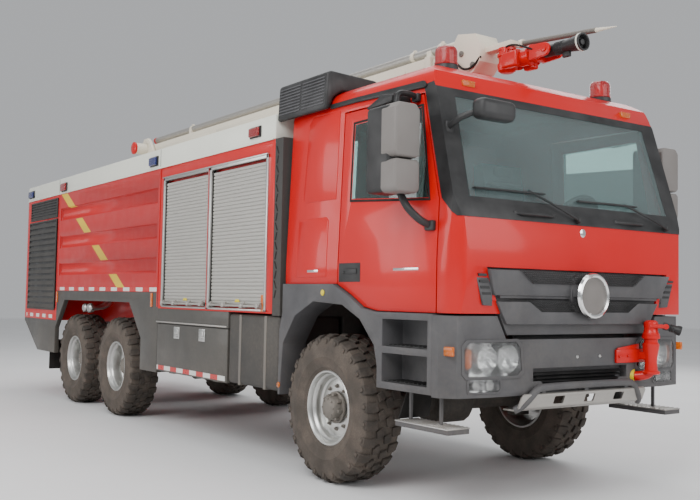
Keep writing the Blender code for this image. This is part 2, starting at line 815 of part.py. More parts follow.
def cab_inside():
    """Side view of the space inside the cab."""
    rear, front = aft(CAB_REAR_AFT), aft(CAB_FRONT_AFT)
    wall = CAB_WALL
    return [
        (rear - wall, CAB_FLOOR),
        (rear - wall, CAB_TOP - 0.185),
        (rear - wall - 0.10, CAB_TOP - 0.075),
        (rear - 0.34, CAB_TOP - 0.045),
        (front + 0.46, CAB_TOP - 0.045),
        (front + 0.39, CAB_TOP - 0.11),
        (front + 0.33, CAB_TOP - 0.225),
        (front + 0.11, 2.09),
        (front + 0.07, 1.96),
        (front + 0.07, 1.43),
        (aft(-0.72), 1.43),
        (aft(-0.52), 1.48),
        (aft(-0.20), CAB_FLOOR),
    ]


def cab_solid():
    """The cab's skin, hollow, before doors and windows are cut."""
    front, rear = aft(-1.80), aft(1.10)
    outer = outline(cab_outline(), -CAB_HALF - 0.1, CAB_HALF + 0.1)
    view = front_view(CAB_HALF, 1.0, CAB_TOP + 0.0001, CAB_CORNER)
    combine(outer, outline(view, front, rear, ALONG), "INTERSECT")
    combine(outer, outline(plan_view(), 1.0, 3.5, UP), "INTERSECT")
    inner = outline(cab_inside(), -CAB_HALF, CAB_HALF)
    view = front_view(CAB_HALF - CAB_WALL, 1.0, CAB_TOP - 0.044, CAB_CORNER - CAB_WALL)
    combine(inner, outline(view, front, rear, ALONG), "INTERSECT")
    cut(outer, frozen(inner))
    return frozen(outer)


def door_outline(gap):
    """Side view of a door's opening, taken in by a gap."""
    rear, front = aft(DOOR_REAR_AFT) - gap, aft(DOOR_FRONT_AFT) + gap
    return [
        (rear, 1.20),
        (rear, 2.875 - gap),
        (front + 0.21, 2.865 - gap),
        (front, 2.10),
        (front, 1.20),
    ]


def door_window(gap):
    """Side view of a door's window."""
    rear, front = aft(DOOR_REAR_AFT) - 0.15 - gap, aft(DOOR_FRONT_AFT) + 0.12 + gap
    return [
        (rear, 2.185 + gap),
        (rear, 2.755 - gap),
        (front + 0.115, 2.765 - gap),
        (front, 2.125 + gap),
    ]


def side_prism(points, side):
    """A cutter through one side wall of the cab that stops at the wall's inner face."""
    s = SIDES[side]
    inner = CAB_HALF - CAB_WALL - 0.001
    top = CAB_TOP - 0.1
    slope = [
        (s * inner, 1.0),
        (s * inner, CAB_CREASE),
        (s * (inner - CAB_TAPER * (top - CAB_CREASE)), top),
        (s * (CAB_HALF + 0.1), top),
        (s * (CAB_HALF + 0.1), 1.0),
    ]
    prism = outline(points, s * (inner - 0.1), s * (CAB_HALF + 0.2))
    combine(prism, outline(slope, aft(-1.9), aft(1.1), ALONG), "INTERSECT")
    return frozen(prism)


def windscreen_outline(gap):
    """Front view of the windscreen."""
    bottom, top = 2.125 + gap, 2.835 - gap
    return [
        (-1.06 + gap, bottom),
        (1.06 - gap, bottom),
        (1.02 - gap, top),
        (-1.02 + gap, top),
    ]


def windscreen_prism(gap):
    return outline(windscreen_outline(gap), aft(-1.70), aft(-1.08), ALONG)


def cab():
    """Cab shell, windscreen, doors and door windows, all cut from one skin."""
    skin = cab_solid()
    shell = copy_of(skin)
    cut(shell, windscreen_prism(0.0))
    front = aft(CAB_FRONT_AFT)
    cut(shell, outline(grille_view(0.0), front - 0.1, front + GRILLE_DEPTH, ALONG))
    for side in SIDES:
        cut(shell, side_prism(door_outline(0.0), side))
        door = copy_of(skin)
        prism = side_prism(door_outline(DOOR_GAP), side)
        combine(door, prism, "INTERSECT")
        door = frozen(door)
        pane = copy_of(door)
        combine(pane, side_prism(door_window(FIT_GAP), side), "INTERSECT")
        hinge = (SIDES[side] * (CAB_HALF + 0.005), aft(DOOR_FRONT_AFT), 2.0)
        keep(frozen(pane), f"door_glass_{side}", glass(), hinge)
        cut(door, side_prism(door_window(0.0), side))
        keep(door, f"door_{side}", red(), hinge)
    screen = copy_of(skin)
    combine(screen, windscreen_prism(FIT_GAP), "INTERSECT")
    keep(screen, "windscreen", glass())
    keep(shell, "cab_shell", red())


def grille_view(gap):
    """Grille seen from the front: wide at the top, narrow at the foot."""
    half, foot = GRILLE_HALF - gap, GRILLE_FOOT_HALF - gap
    bottom = GRILLE_BOTTOM + gap
    top = GRILLE_TOP - gap
    return [(-half, top), (half, top), (foot, bottom), (-foot, bottom)]


def dashboard():
    """Dashboard across the cab with the steering column and wheel on the left."""
    front = aft(CAB_FRONT_AFT) + 0.07 + FIT_GAP
    half = CAB_HALF - CAB_WALL - 0.03
    points = [
        (front, 1.75),
        (front, 1.96),
        (front + 0.04, 2.06),
        (front + 0.30, 2.08),
        (front + 0.38, 1.98),
        (front + 0.30, 1.75),
    ]
    dash = outline(points, -half, half)
    hub = Vector((0.55, front + 0.52, 2.10))
    foot = Vector((0.55, front + 0.25, 1.88))
    tilt = (hub - foot).normalized()
    join(dash, rod(foot, hub, 0.035))
    join(dash, rod(hub - tilt * 0.02, hub + tilt * 0.015, 0.225, segments=20))
    keep(dash, "dashboard", black_plastic())


def cab_seats():
    """Two seats on one low bar across the floor."""
    floor = CAB_FLOOR + FIT_GAP
    points = [
        (aft(-0.70), 1.80),
        (aft(-0.72), 1.90),
        (aft(-0.20), 1.92),
        (aft(-0.08), 2.62),
        (aft(0.02), 2.60),
        (aft(-0.04), 1.80),
    ]
    bar = box((-0.78, aft(-0.18), floor), (0.78, aft(-0.06), floor + 0.20))
    for x in (-0.55, 0.55):
        join(bar, outline(points, x - 0.24, x + 0.24))
    keep(bar, "cab_seats", material("seat_fabric", (0.06, 0.06, 0.07), 0.9))


def grille():
    """Radiator grille with two proud bars and a plain round badge."""
    front = aft(CAB_FRONT_AFT)
    back = front + GRILLE_DEPTH - FIT_GAP
    face = front + 0.015
    panel = outline(grille_view(0.0005), face, back, ALONG)
    for low_z, high_z, half in ((1.45, 1.55, 0.84), (1.27, 1.36, 0.74)):
        join(panel, box((-half, front - 0.02, low_z), (half, face + 0.01, high_z)))
    join(panel, rod((0, front - 0.04, 1.48), (0, face + 0.01, 1.48), 0.16, segments=24))
    keep(panel, "grille", grey_plastic())


def bumper():
    """Grey bumper with a low middle, lamp recesses and an air opening."""
    front = aft(BUMPER_FRONT_AFT)
    side_end = aft(-1.305) - FIT_GAP
    back = side_end
    points = [
        (-BODY_HALF, side_end),
        (-BODY_HALF, front + 0.13),
        (-1.17, front + 0.04),
        (-0.92, front),
        (0.92, front),
        (1.17, front + 0.04),
        (BODY_HALF, front + 0.13),
        (BODY_HALF, side_end),
        (1.0, back),
        (-1.0, back),
    ]
    bar = outline(points, BUMPER_BOTTOM, BUMPER_TOP, UP)
    opening = [
        (-GRILLE_FOOT_HALF - 0.16, BUMPER_TOP + 0.1),
        (-GRILLE_FOOT_HALF - 0.02, BUMPER_MID_TOP),
        (GRILLE_FOOT_HALF + 0.02, BUMPER_MID_TOP),
        (GRILLE_FOOT_HALF + 0.16, BUMPER_TOP + 0.1),
    ]
    cut(bar, outline(opening, front - 0.1, back + 0.1, ALONG))
    cut(bar, box((-0.50, front - 0.1, 0.88), (0.50, front + 0.06, 0.97)))
    for s in SIDES.values():
        cut(bar, box((s * 0.62, front - 0.1, 0.935), (s * 1.10, front + 0.055, 1.155)))
        cut(bar, box((s * 0.81, front - 0.1, 0.83), (s * 1.06, front + 0.055, 0.905)))
        post = box((s * 0.385, back - 0.02, 0.82), (s * 0.455, aft(RAIL_FRONT_AFT) - FIT_GAP, 1.0))
        join(bar, post)
    keep(bar, "bumper", grey_plastic())


def skid_plate():
    """Silver skid plate under the bumper with a tube bar over it."""
    front = aft(BUMPER_FRONT_AFT)
    points = [
        (front - 0.03, BUMPER_BOTTOM - FIT_GAP),
        (front + 0.12, BUMPER_BOTTOM - FIT_GAP),
        (front + 0.13, 0.69),
        (front + 0.09, 0.68),
    ]
    plate = outline(points, -0.70, 0.70)
    bar_y = front - 0.055
    route = [
        (-0.64, front + 0.01, 0.735),
        (-0.60, bar_y + 0.02, 0.78),
        (-0.54, bar_y, 0.855),
        (0.54, bar_y, 0.855),
        (0.60, bar_y + 0.02, 0.78),
        (0.64, front + 0.01, 0.735),
    ]
    join(plate, pipe(route, 0.024))
    keep(plate, "skid_plate", silver())


def wheel_arch(side):
    """Grey trim over the front wheel, the entry steps ahead of it and the hanging step."""
    s = SIDES[side]
    step_front, step_back = aft(-1.305), aft(-0.70)
    step_low = 0.80
    points = [
        (aft(0.64), 0.62),
        (aft(0.67), 0.62),
        (aft(0.665), 1.15),
        (aft(CAB_REAR_AFT), 1.30),
        (aft(CAB_REAR_AFT), CAB_REAR_BOTTOM - FIT_GAP),
        (aft(DOOR_REAR_AFT) + 0.01, CAB_REAR_BOTTOM - FIT_GAP),
        (aft(DOOR_REAR_AFT) + 0.01, CAB_REAR_BOTTOM - MOVE_GAP - 0.003),
        (aft(-0.14), CAB_REAR_BOTTOM - MOVE_GAP - 0.003),
        (aft(-0.33), 1.451),
        (aft(-0.50), 1.362),
        (aft(-0.66), CAB_FRONT_BOTTOM - MOVE_GAP),
        (step_front, CAB_FRONT_BOTTOM - MOVE_GAP),
        (step_front, step_low),
        (step_back, step_low),
        (step_back, 0.95),
        (aft(-0.66), 1.10),
        (aft(-0.48), 1.28),
        (aft(-0.25), 1.38),
        (aft(0.15), 1.40),
        (aft(0.42), 1.28),
        (aft(0.60), 1.05),
    ]
    trim = outline(points, s * 1.02, s * BODY_HALF)
    for low_z, high_z in ((0.85, 1.05), (1.10, 1.29)):
        pocket_low = (s * 1.06, step_front + 0.05, low_z)
        cut(trim, box(pocket_low, (s * 1.40, step_back - 0.06, high_z)))
    tread_y = (aft(-1.45), aft(-0.90))
    join(trim, box((s * 1.04, tread_y[0], 0.555), (s * 1.23, tread_y[1], 0.590)))
    for y in (aft(-1.27), aft(-0.95)):
        join(trim, box((s * 1.12, y - 0.012, 0.58), (s * 1.14, y + 0.012, step_low + 0.01)))
    keep(trim, f"wheel_arch_{side}", grey_plastic())


def air_intake():
    """Raised air intake on the rear right corner of the cab roof."""
    front, rear = aft(0.04), aft(0.79)
    points = [
        (-1.24, 2.93),
        (-1.225, 3.22),
        (-1.19, 3.245),
        (-0.74, 3.225),
        (-0.70, 3.19),
        (-0.70, CAB_TOP + FIT_GAP),
        (-1.08, CAB_TOP + FIT_GAP),
        (-1.16, 3.03),
        (-1.19, 2.93),
    ]
    keep(outline(points, front, rear, ALONG), "air_intake", black_plastic())


def beacon(side):
    """Red warning beacon on a dark foot."""
    s = SIDES[side]
    base = CAB_TOP + FIT_GAP
    profile = [
        (0.0, base + 0.190),
        (0.072, base + 0.190),
        (0.086, base + 0.174),
        (0.092, base + 0.050),
        (0.096, base),
        (0.0, base),
    ]
    lamp = turned(profile, (s * 0.85, aft(-0.955), 0), (0, 0, 1), 20)
    keep(lamp, f"beacon_{side}", red())


def mirror(side):
    """Mirror housing carried by two arms on the door."""
    s = SIDES[side]
    housing = box((s * 1.31, aft(-1.27), 2.14), (s * 1.53, aft(-0.88), 2.74))
    bevel = housing.modifiers.new("round", "BEVEL")
    bevel.width = 0.035
    bevel.segments = 2
    bevel.limit_method = "ANGLE"
    top_x = CAB_HALF - CAB_TAPER * (2.815 - CAB_CREASE) + FIT_GAP
    join(housing, box((s * top_x, aft(-1.06), 2.815), (s * 1.42, aft(-1.02), 2.855)))
    join(housing, box((s * 1.38, aft(-1.06), 2.70), (s * 1.42, aft(-1.02), 2.855)))
    low_x = CAB_HALF - CAB_TAPER * (1.90 - CAB_CREASE) + FIT_GAP
    join(housing, box((s * low_x, aft(-1.27), 1.90), (s * 1.42, aft(-1.21), 1.95)))
    join(housing, box((s * 1.37, aft(-1.27), 1.90), (s * 1.42, aft(-1.21), 2.20)))
    hinge = (s * (CAB_HALF + 0.005), aft(DOOR_FRONT_AFT), 2.0)
    keep(housing, f"mirror_{side}", grey_plastic(), hinge)


# ---- boom ---------------------------------------------------------------------------
def boom_turret():
    """Slewing turret with two ears for the boom's shaft and a foot for the cylinder."""
    deck = BODY_TOP + FIT_GAP + DECK_THICK + FIT_GAP
    y = aft(SLEW_AFT)
    base = rod((BOOM_X, y, deck), (BOOM_X, y, deck + 0.10), 0.42, segments=28)
    join(base, rod((BOOM_X, y, deck + 0.09), (BOOM_X, y, deck + 0.15), 0.33, segments=28))
    pivot = (aft(PIVOT_AFT), PIVOT_Z)
    for s in SIDES.values():
        inner = BOOM_X + s * EAR_IN
        outer = BOOM_X + s * (EAR_IN + EAR_THICK)
        points = [
            (y - 0.28, deck + 0.10),
            (y - 0.20, deck + 0.24),
            (pivot[0] - 0.14, PIVOT_Z + 0.10),
            (pivot[0] - 0.06, PIVOT_Z + 0.155),
            (pivot[0] + 0.06, PIVOT_Z + 0.155),
            (pivot[0] + 0.14, PIVOT_Z + 0.08),
            (pivot[0] + 0.14, PIVOT_Z - 0.10),
            (y + 0.30, deck + 0.10),
        ]
        join(base, outline(points, inner, outer))
    half = BOOM_HALF + 0.2
    hole = rod(
        (BOOM_X - half, *pivot), (BOOM_X + half, *pivot), SHAFT_RADIUS + PIN_GAP, segments=48
    )
    cut(base, hole)
    foot = (aft(CYLINDER_FOOT_AFT), CYLINDER_FOOT_Z)
    for s in SIDES.values():
        inner, outer = BOOM_X + s * 0.056, BOOM_X + s * 0.076
        lug = [
            (foot[0] - 0.05, deck + 0.02),
            (foot[0] - 0.05, foot[1] + 0.04),
            (foot[0] + 0.04, foot[1] + 0.04),
            (foot[0] + 0.12, deck + 0.02),
        ]
        join(base, outline(lug, inner, outer))
    keep(base, "boom_turret", off_white(), (BOOM_X, y, deck))


def outer_boom():
    """Boom tube on its shaft, with the water pipe bracketed on top."""
    rear, front = aft(BOOM_REAR_AFT), aft(BOOM_FRONT_AFT)
    low = (BOOM_X - BOOM_HALF, front, BOOM_BOTTOM)
    tube = box(low, (BOOM_X + BOOM_HALF, rear, BOOM_TOP))
    pivot = (aft(PIVOT_AFT), PIVOT_Z)
    pipe_rear = pivot[0] + 0.06
    shaft_half = 0.35
    inner = BOOM_HALF - BOOM_WALL
    bore = box(
        (BOOM_X - inner, front - 0.1, BOOM_BOTTOM + BOOM_WALL),
        (BOOM_X + inner, aft(INNER_REAR_AFT) + 0.10, BOOM_TOP - BOOM_WALL),
    )
    cut(tube, bore)
    shaft = rod(
        (BOOM_X - shaft_half, *pivot), (BOOM_X + shaft_half, *pivot), SHAFT_RADIUS, segments=48
    )
    join(tube, shaft)
    water = rod((BOOM_X, front - 0.05, PIPE_Z), (BOOM_X, pipe_rear, PIPE_Z), PIPE_RADIUS)
    for distance in (0.32, 2.90, 5.30):
        y = aft(distance)
        foot = box((BOOM_X - 0.05, y - 0.03, BOOM_TOP - 0.005), (BOOM_X + 0.05, y + 0.03, PIPE_Z))
        join(water, foot)
    water = frozen(water)
    bore_end = aft(INNER_REAR_AFT)
    cut(water, rod((BOOM_X, front - 0.2, PIPE_Z), (BOOM_X, bore_end, PIPE_Z), PIPE_BORE))
    join(tube, frozen(water))
    eye = (aft(CYLINDER_EYE_AFT), CYLINDER_EYE_Z)
    for s in SIDES.values():
        inner_x, outer_x = BOOM_X + s * 0.036, BOOM_X + s * 0.056
        lug = [
            (eye[0] - 0.10, BOOM_BOTTOM + 0.005),
            (eye[0] - 0.05, eye[1] - 0.05),
            (eye[0] + 0.05, eye[1] - 0.05),
            (eye[0] + 0.10, BOOM_BOTTOM + 0.005),
        ]
        join(tube, outline(lug, inner_x, outer_x))
    keep(tube, "outer_boom", off_white(), (BOOM_X, *pivot))


def inner_boom():
    """Telescopic section with the head bracket, the sliding pipe and the piercing spike."""
    half = BOOM_HALF - BOOM_WALL - MOVE_GAP
    low_z = BOOM_BOTTOM + BOOM_WALL + SLIDE_GAP
    top_z = BOOM_TOP - BOOM_WALL - SLIDE_GAP
    front = aft(-0.12)
    low = (BOOM_X - half, front, low_z)
    bar = box(low, (BOOM_X + half, aft(INNER_REAR_AFT), top_z))
    head_y = aft(HEAD_FRONT_AFT)
    points = [
        (front + 0.03, 3.34),
        (front + 0.03, 3.62),
        (front - 0.03, 3.70),
        (head_y + 0.05, 3.66),
        (head_y, 3.56),
        (head_y, 3.42),
        (head_y + 0.08, 3.34),
    ]
    join(bar, outline(points, BOOM_X - 0.12, BOOM_X + 0.12))
    water = rod(
        (BOOM_X, front - 0.02, PIPE_Z), (BOOM_X, aft(INNER_REAR_AFT - 0.1), PIPE_Z),
        INNER_PIPE_RADIUS, segments=12,
    )
    join(bar, water)
    arm = box((BOOM_X - 0.05, aft(PAN_AFT) - 0.09, 3.50), (BOOM_X + 0.05, head_y + 0.02, 3.545))
    join(bar, arm)
    rear = Vector((SPIKE_X, aft(-0.20), 3.596))
    tip = Vector((SPIKE_X, aft(SPIKE_TIP_AFT), 3.480))
    neck = rear + (tip - rear) * 0.87
    join(bar, rod(rear, neck, 0.024, 0.018, 12))
    join(bar, rod(neck + (rear - neck) * 0.001, tip, 0.017, 0.003, 12))
    seat = box((BOOM_X + 0.11, aft(-0.40), 3.56), (SPIKE_X + 0.02, aft(-0.22), 3.61))
    join(bar, seat)
    pivot = (aft(PIVOT_AFT), PIVOT_Z)
    keep(bar, "inner_boom", off_white(), (BOOM_X, *pivot))


def lift_cylinder():
    """Barrel on the turret and rod to the boom, opened at the rod's eye."""
    foot = Vector((BOOM_X, aft(CYLINDER_FOOT_AFT), CYLINDER_FOOT_Z))
    eye = Vector((BOOM_X, aft(CYLINDER_EYE_AFT), CYLINDER_EYE_Z))
    line = (eye - foot).normalized()
    barrel = rod(foot + line * 0.02, eye - line * 0.14, BARREL_RADIUS)
    sideways = Vector((0.055, 0, 0))
    join(barrel, rod(foot - sideways, foot + sideways, 0.035))
    bore = rod(foot + line * 0.12, eye, ROD_RADIUS + SLIDE_GAP)
    cut(barrel, bore)
    keep(barrel, "lift_cylinder_barrel", dark_grey(), foot)
    stem = rod(foot + line * 0.14, eye, ROD_RADIUS)
    sideways = Vector((0.034, 0, 0))
    join(stem, rod(eye - sideways, eye + sideways, 0.04))
    keep(stem, "lift_cylinder_rod", silver(), foot)


def boom_monitor():
    """Water monitor under the head: a swivel elbow and a body that carries the nozzle."""
    pan = Vector((BOOM_X, aft(PAN_AFT), 0))
    top = 3.50 - FIT_GAP
    body = rod(pan + Vector((0, 0, 3.295)), pan + Vector((0, 0, top)), 0.075, segments=20)
    front = aft(NOZZLE_PIVOT_AFT)
    join(body, rod((BOOM_X, aft(PAN_AFT), NOZZLE_Z), (BOOM_X, front + 0.09, NOZZLE_Z), 0.078))
    for s in SIDES.values():
        inner, outer = BOOM_X + s * 0.062, BOOM_X + s * 0.085
        join(body, box((inner, front - 0.05, 3.33), (outer, front + 0.15, 3.43)))
    keep(body, "boom_monitor", red(), pan)


def boom_nozzle():
    """Nozzle that tilts between the monitor's cheeks."""
    front = aft(NOZZLE_PIVOT_AFT)
    end = aft(NOZZLE_END_AFT)
    body = rod((BOOM_X, front + 0.06, NOZZLE_Z), (BOOM_X, end + 0.09, NOZZLE_Z), 0.048)
    pin = rod(
        (BOOM_X - 0.0615, front, NOZZLE_Z), (BOOM_X + 0.0615, front, NOZZLE_Z), 0.03, segments=12
    )
    join(body, pin)
    join(body, rod((BOOM_X, end + 0.10, NOZZLE_Z), (BOOM_X, end, NOZZLE_Z), 0.05, 0.068))
    keep(body, "boom_nozzle", black_plastic(), (BOOM_X, front, NOZZLE_Z))


# ---- bumper monitor -----------------------------------------------------------------
def bumper_monitor():
    """Bumper turret: a fixed riser, a swivelling elbow and a tilting nozzle."""
    x, y = BM_X, aft(BM_AFT)
    wall = aft(BUMPER_FRONT_AFT) - FIT_GAP
    riser = rod((x, y, 0.90), (x, y, BM_JOINT_Z), 0.05)
    join(riser, box((x - 0.30, wall - 0.03, 0.985), (x + 0.16, wall, 1.085)))
    join(riser, box((x - 0.05, y, 1.00), (x + 0.05, wall - 0.01, 1.07)))
    join(riser, rod((x, y, 0.90), (x, y, 0.96), 0.07))
    keep(riser, "bumper_monitor_riser", red())
    base = BM_JOINT_Z + FIT_GAP
    elbow = rod((x, y, base), (x, y, BM_PIVOT_Z + 0.045), 0.052)
    aim = Vector((math.cos(math.radians(-50)), math.sin(math.radians(-50)), 0))
    cross = Vector((-aim.y, aim.x, 0))
    pivot = Vector((x, y, BM_PIVOT_Z)) + aim * 0.105
    for s in SIDES.values():
        start = Vector((x, y, BM_PIVOT_Z)) + cross * 0.046 * s
        cheek = rod(start, pivot + cross * 0.046 * s, 0.014, segments=8)
        join(elbow, cheek)
    keep(elbow, "bumper_monitor_elbow", red(), (x, y, base))
    droop = Vector((aim.x, aim.y, -0.30)).normalized()
    nozzle = rod(pivot - droop * 0.02, pivot + droop * 0.075, 0.026, segments=14)
    pin = rod(pivot - cross * 0.031, pivot + cross * 0.031, 0.02, segments=12)
    join(nozzle, pin)
    join(nozzle, rod(pivot + droop * 0.07, pivot + droop * 0.115, 0.028, 0.036, 14))
    keep(nozzle, "bumper_monitor_nozzle", black_plastic(), pivot)


def main():
    """Build every piece of the truck."""
    frame_rails()
    engine_block()
    front_axle()
    rear_bogie()
    first = aft(WHEELBASE)
    for side in SIDES:
        knuckle(side)
        wheel("front", side, FRONT_AXLE_Y, FRONT_FACE, FRONT_DISC_IN)
        wheel("middle", side, first, REAR_FACE, REAR_DISC_IN)
        wheel("rear", side, first + BOGIE_SPACING, REAR_FACE, REAR_DISC_IN)
        shutters(side)
        skirt(side)
        flap_door(side)
        wheel_arch(side)
        beacon(side)
        mirror(side)
    side_tank("fuel_tank", "right")
    side_tank("battery_box", "left")
    locker_body()
    tank_body()
    pump_body()
    roof_fascia()
    front_bulkhead()
    rear_ladder()
    cab()
    dashboard()
    cab_seats()
    grille()
    bumper()
    skid_plate()
    air_intake()
    boom_turret()
    outer_boom()
    inner_boom()
    lift_cylinder()
    boom_monitor()
    boom_nozzle()
    bumper_monitor()


main()
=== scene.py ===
"""Looks of a six-wheeled airport fire truck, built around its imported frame.

The truck faces -Y and its right side is at -X. Sizes are in metres, and "aft" is
measured rearwards from the front axle.
"""

import json
import logging
import math
from dataclasses import dataclass
from enum import Enum
from typing import Iterator, Sequence

import bpy
from mathutils import Matrix, Vector
from mathutils.bvhtree import BVHTree

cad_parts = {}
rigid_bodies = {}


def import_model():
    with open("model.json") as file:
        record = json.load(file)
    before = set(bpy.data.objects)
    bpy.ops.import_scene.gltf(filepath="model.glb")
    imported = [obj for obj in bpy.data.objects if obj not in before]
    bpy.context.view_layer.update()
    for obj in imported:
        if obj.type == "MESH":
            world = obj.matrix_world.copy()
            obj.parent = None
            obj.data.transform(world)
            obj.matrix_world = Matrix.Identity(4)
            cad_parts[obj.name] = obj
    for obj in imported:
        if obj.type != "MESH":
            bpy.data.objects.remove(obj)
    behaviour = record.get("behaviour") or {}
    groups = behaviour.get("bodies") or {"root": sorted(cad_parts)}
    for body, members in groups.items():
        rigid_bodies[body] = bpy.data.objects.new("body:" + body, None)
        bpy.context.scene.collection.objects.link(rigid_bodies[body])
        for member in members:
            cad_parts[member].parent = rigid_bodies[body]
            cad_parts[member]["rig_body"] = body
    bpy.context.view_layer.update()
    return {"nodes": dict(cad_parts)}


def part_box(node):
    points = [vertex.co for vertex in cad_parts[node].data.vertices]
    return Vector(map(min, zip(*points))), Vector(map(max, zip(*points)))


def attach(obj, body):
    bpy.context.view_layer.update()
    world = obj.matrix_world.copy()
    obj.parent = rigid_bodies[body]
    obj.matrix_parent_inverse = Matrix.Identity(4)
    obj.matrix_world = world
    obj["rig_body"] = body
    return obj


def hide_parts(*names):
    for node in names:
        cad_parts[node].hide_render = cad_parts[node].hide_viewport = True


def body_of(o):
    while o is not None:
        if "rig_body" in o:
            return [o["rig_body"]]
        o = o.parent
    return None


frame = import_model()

LOG = logging.getLogger("fire_truck")

Point = Sequence[float]
Flat = tuple[float, float]
Colour = tuple[float, float, float]
Piece = bpy.types.Object
Socket = bpy.types.NodeSocket


class Side(Enum):
    """The two sides of the truck, each with the sign of its X."""

    RIGHT = -1
    LEFT = 1

    @property
    def word(self) -> str:
        """Name of the side, as the frame writes it."""
        return self.name.lower()


class Axis(Enum):
    """Direction that an outline is drawn out along."""

    X = 0
    Y = 1
    Z = 2


def middle(node: str) -> Vector:
    """Middle of a frame node's box."""
    low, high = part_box(node)
    return (Vector(low) + Vector(high)) / 2


FRONT_AXLE_Y = middle("rim_front_right").y


def aft(distance: float) -> float:
    """Y of a place measured rearwards from the front axle."""
    return FRONT_AXLE_Y + distance


def mixed(colour: Colour, other: Colour, share: float) -> Colour:
    """Colour part of the way to another one."""
    return tuple(a + (b - a) * share for a, b in zip(colour, other))


# ---- finishes -----------------------------------------------------------------------
class Graph:
    """Node tree of one material, with short calls for the nodes that it uses."""

    def __init__(self, name: str) -> None:
        """Starts a material with one Principled shader.

        Args:
            name: Name of the material.
        """
        self.material = bpy.data.materials.new(name)
        self.material.use_nodes = True
        self.tree = self.material.node_tree
        self.tree.nodes.clear()
        self.shader = self.tree.nodes.new("ShaderNodeBsdfPrincipled")
        output = self.tree.nodes.new("ShaderNodeOutputMaterial")
        self.tree.links.new(self.shader.outputs["BSDF"], output.inputs["Surface"])
        coordinates = self.tree.nodes.new("ShaderNodeTexCoord")
        self.place = coordinates.outputs["Object"]

    def node(self, kind: str, inputs: dict | None = None, **settings) -> bpy.types.Node:
        """Adds one node.

        Args:
            kind: Node type, without its ShaderNode start.
            inputs: Values or sockets for the node's inputs.
            **settings: Properties of the node.

        Returns:
            The new node.
        """
        made = self.tree.nodes.new("ShaderNode" + kind)
        for key, value in settings.items():
            setattr(made, key, value)
        for key, value in (inputs or {}).items():
            if isinstance(value, Socket):
                self.tree.links.new(value, made.inputs[key])
            else:
                made.inputs[key].default_value = value
        return made

    def set(self, **values) -> None:
        """Sets or links inputs of the shader, named with _ for a space."""
        for key, value in values.items():
            socket = self.shader.inputs[key.replace("_", " ")]
            if isinstance(value, Socket):
                self.tree.links.new(value, socket)
            elif isinstance(value, tuple):
                socket.default_value = (*value, 1.0)
            else:
                socket.default_value = value

    def stretched(self, scale: Point) -> Socket:
        """Object coordinates scaled by axis."""
        return self.node("Mapping", {"Vector": self.place, "Scale": scale}).outputs[0]

    def noise(self, scale: float, detail: float = 4.0, vector: Socket | None = None) -> Socket:
        """Noise of a scale per metre, from 0 to 1."""
        inputs = {"Vector": vector or self.place, "Scale": scale, "Detail": detail}
        return self.node("TexNoise", inputs).outputs["Fac"]

    def span(self, value: Socket, low: float, high: float, to_low=0.0, to_high=1.0) -> Socket:
        """Value mapped from one range to another and held inside it."""
        inputs = {0: value, 1: low, 2: high, 3: to_low, 4: to_high}
        return self.node("MapRange", inputs).outputs[0]

    def sum(self, operation: str, first, second=0.0) -> Socket:
        """Result of one Math node."""
        return self.node("Math", {0: first, 1: second}, operation=operation).outputs[0]

    def axis(self, axis: Axis) -> Socket:
        """One coordinate of the point."""
        return self.node("SeparateXYZ", {0: self.place}).outputs[axis.value]

    def blend(self, share: Socket, first: Colour | Socket, second: Colour | Socket) -> Socket:
        """Colour between two, by a share from 0 to 1."""
        made = self.node("Mix", data_type="RGBA")
        self.tree.links.new(share, made.inputs[0])
        for socket, value in ((made.inputs[6], first), (made.inputs[7], second)):
            if isinstance(value, Socket):
                self.tree.links.new(value, socket)
            else:
                socket.default_value = (*value, 1.0)
        return made.outputs[2]

    def bump(self, height: Socket, strength: float, distance: float) -> None:
        """Gives the shader a bump from a height, over any bump that it has."""
        inputs = {"Height": height, "Strength": strength, "Distance": distance}
        normal = self.shader.inputs["Normal"]
        if normal.is_linked:
            inputs["Normal"] = normal.links[0].from_socket
        made = self.node("Bump", inputs)
        self.tree.links.new(made.outputs[0], normal)

    def dusted(self, colour: Colour | Socket, dust: Colour, share: float, top: float) -> Socket:
        """Colour under road dust that thins out upwards.

        Args:
            colour: Colour of the clean surface.
            dust: Colour of the dust.
            share: Most that the dust covers.
            top: Height over which there is hardly any.

        Returns:
            The colour socket.
        """
        height = self.span(self.axis(Axis.Z), 0.25, top, 1.0, 0.12)
        cloud = self.span(self.noise(2.3, 8.0), 0.32, 0.68, 0.25, 1.0)
        speck = self.span(self.noise(38.0, 6.0), 0.35, 0.75, 0.5, 1.0)
        cover = self.sum("MULTIPLY", self.sum("MULTIPLY", height, cloud), speck)
        return self.blend(self.sum("MULTIPLY", cover, share), colour, dust)


DUST = (0.23, 0.19, 0.15)


@dataclass(frozen=True)
class Finish:
    """A surface finish. Each kind says how its material is made."""

    name: str
    colour: Colour

    def make(self) -> bpy.types.Material:
        """Makes the material the first time, and gives the same one after that."""
        found = bpy.data.materials.get("finish_" + self.name)
        if found:
            return found
        graph = Graph("finish_" + self.name)
        self.dress(graph)
        return graph.material

    def dress(self, graph: Graph) -> None:
        """Fills in the node tree."""
        graph.set(Base_Color=graph.blend(graph.noise(3.0), self.colour, self.colour))


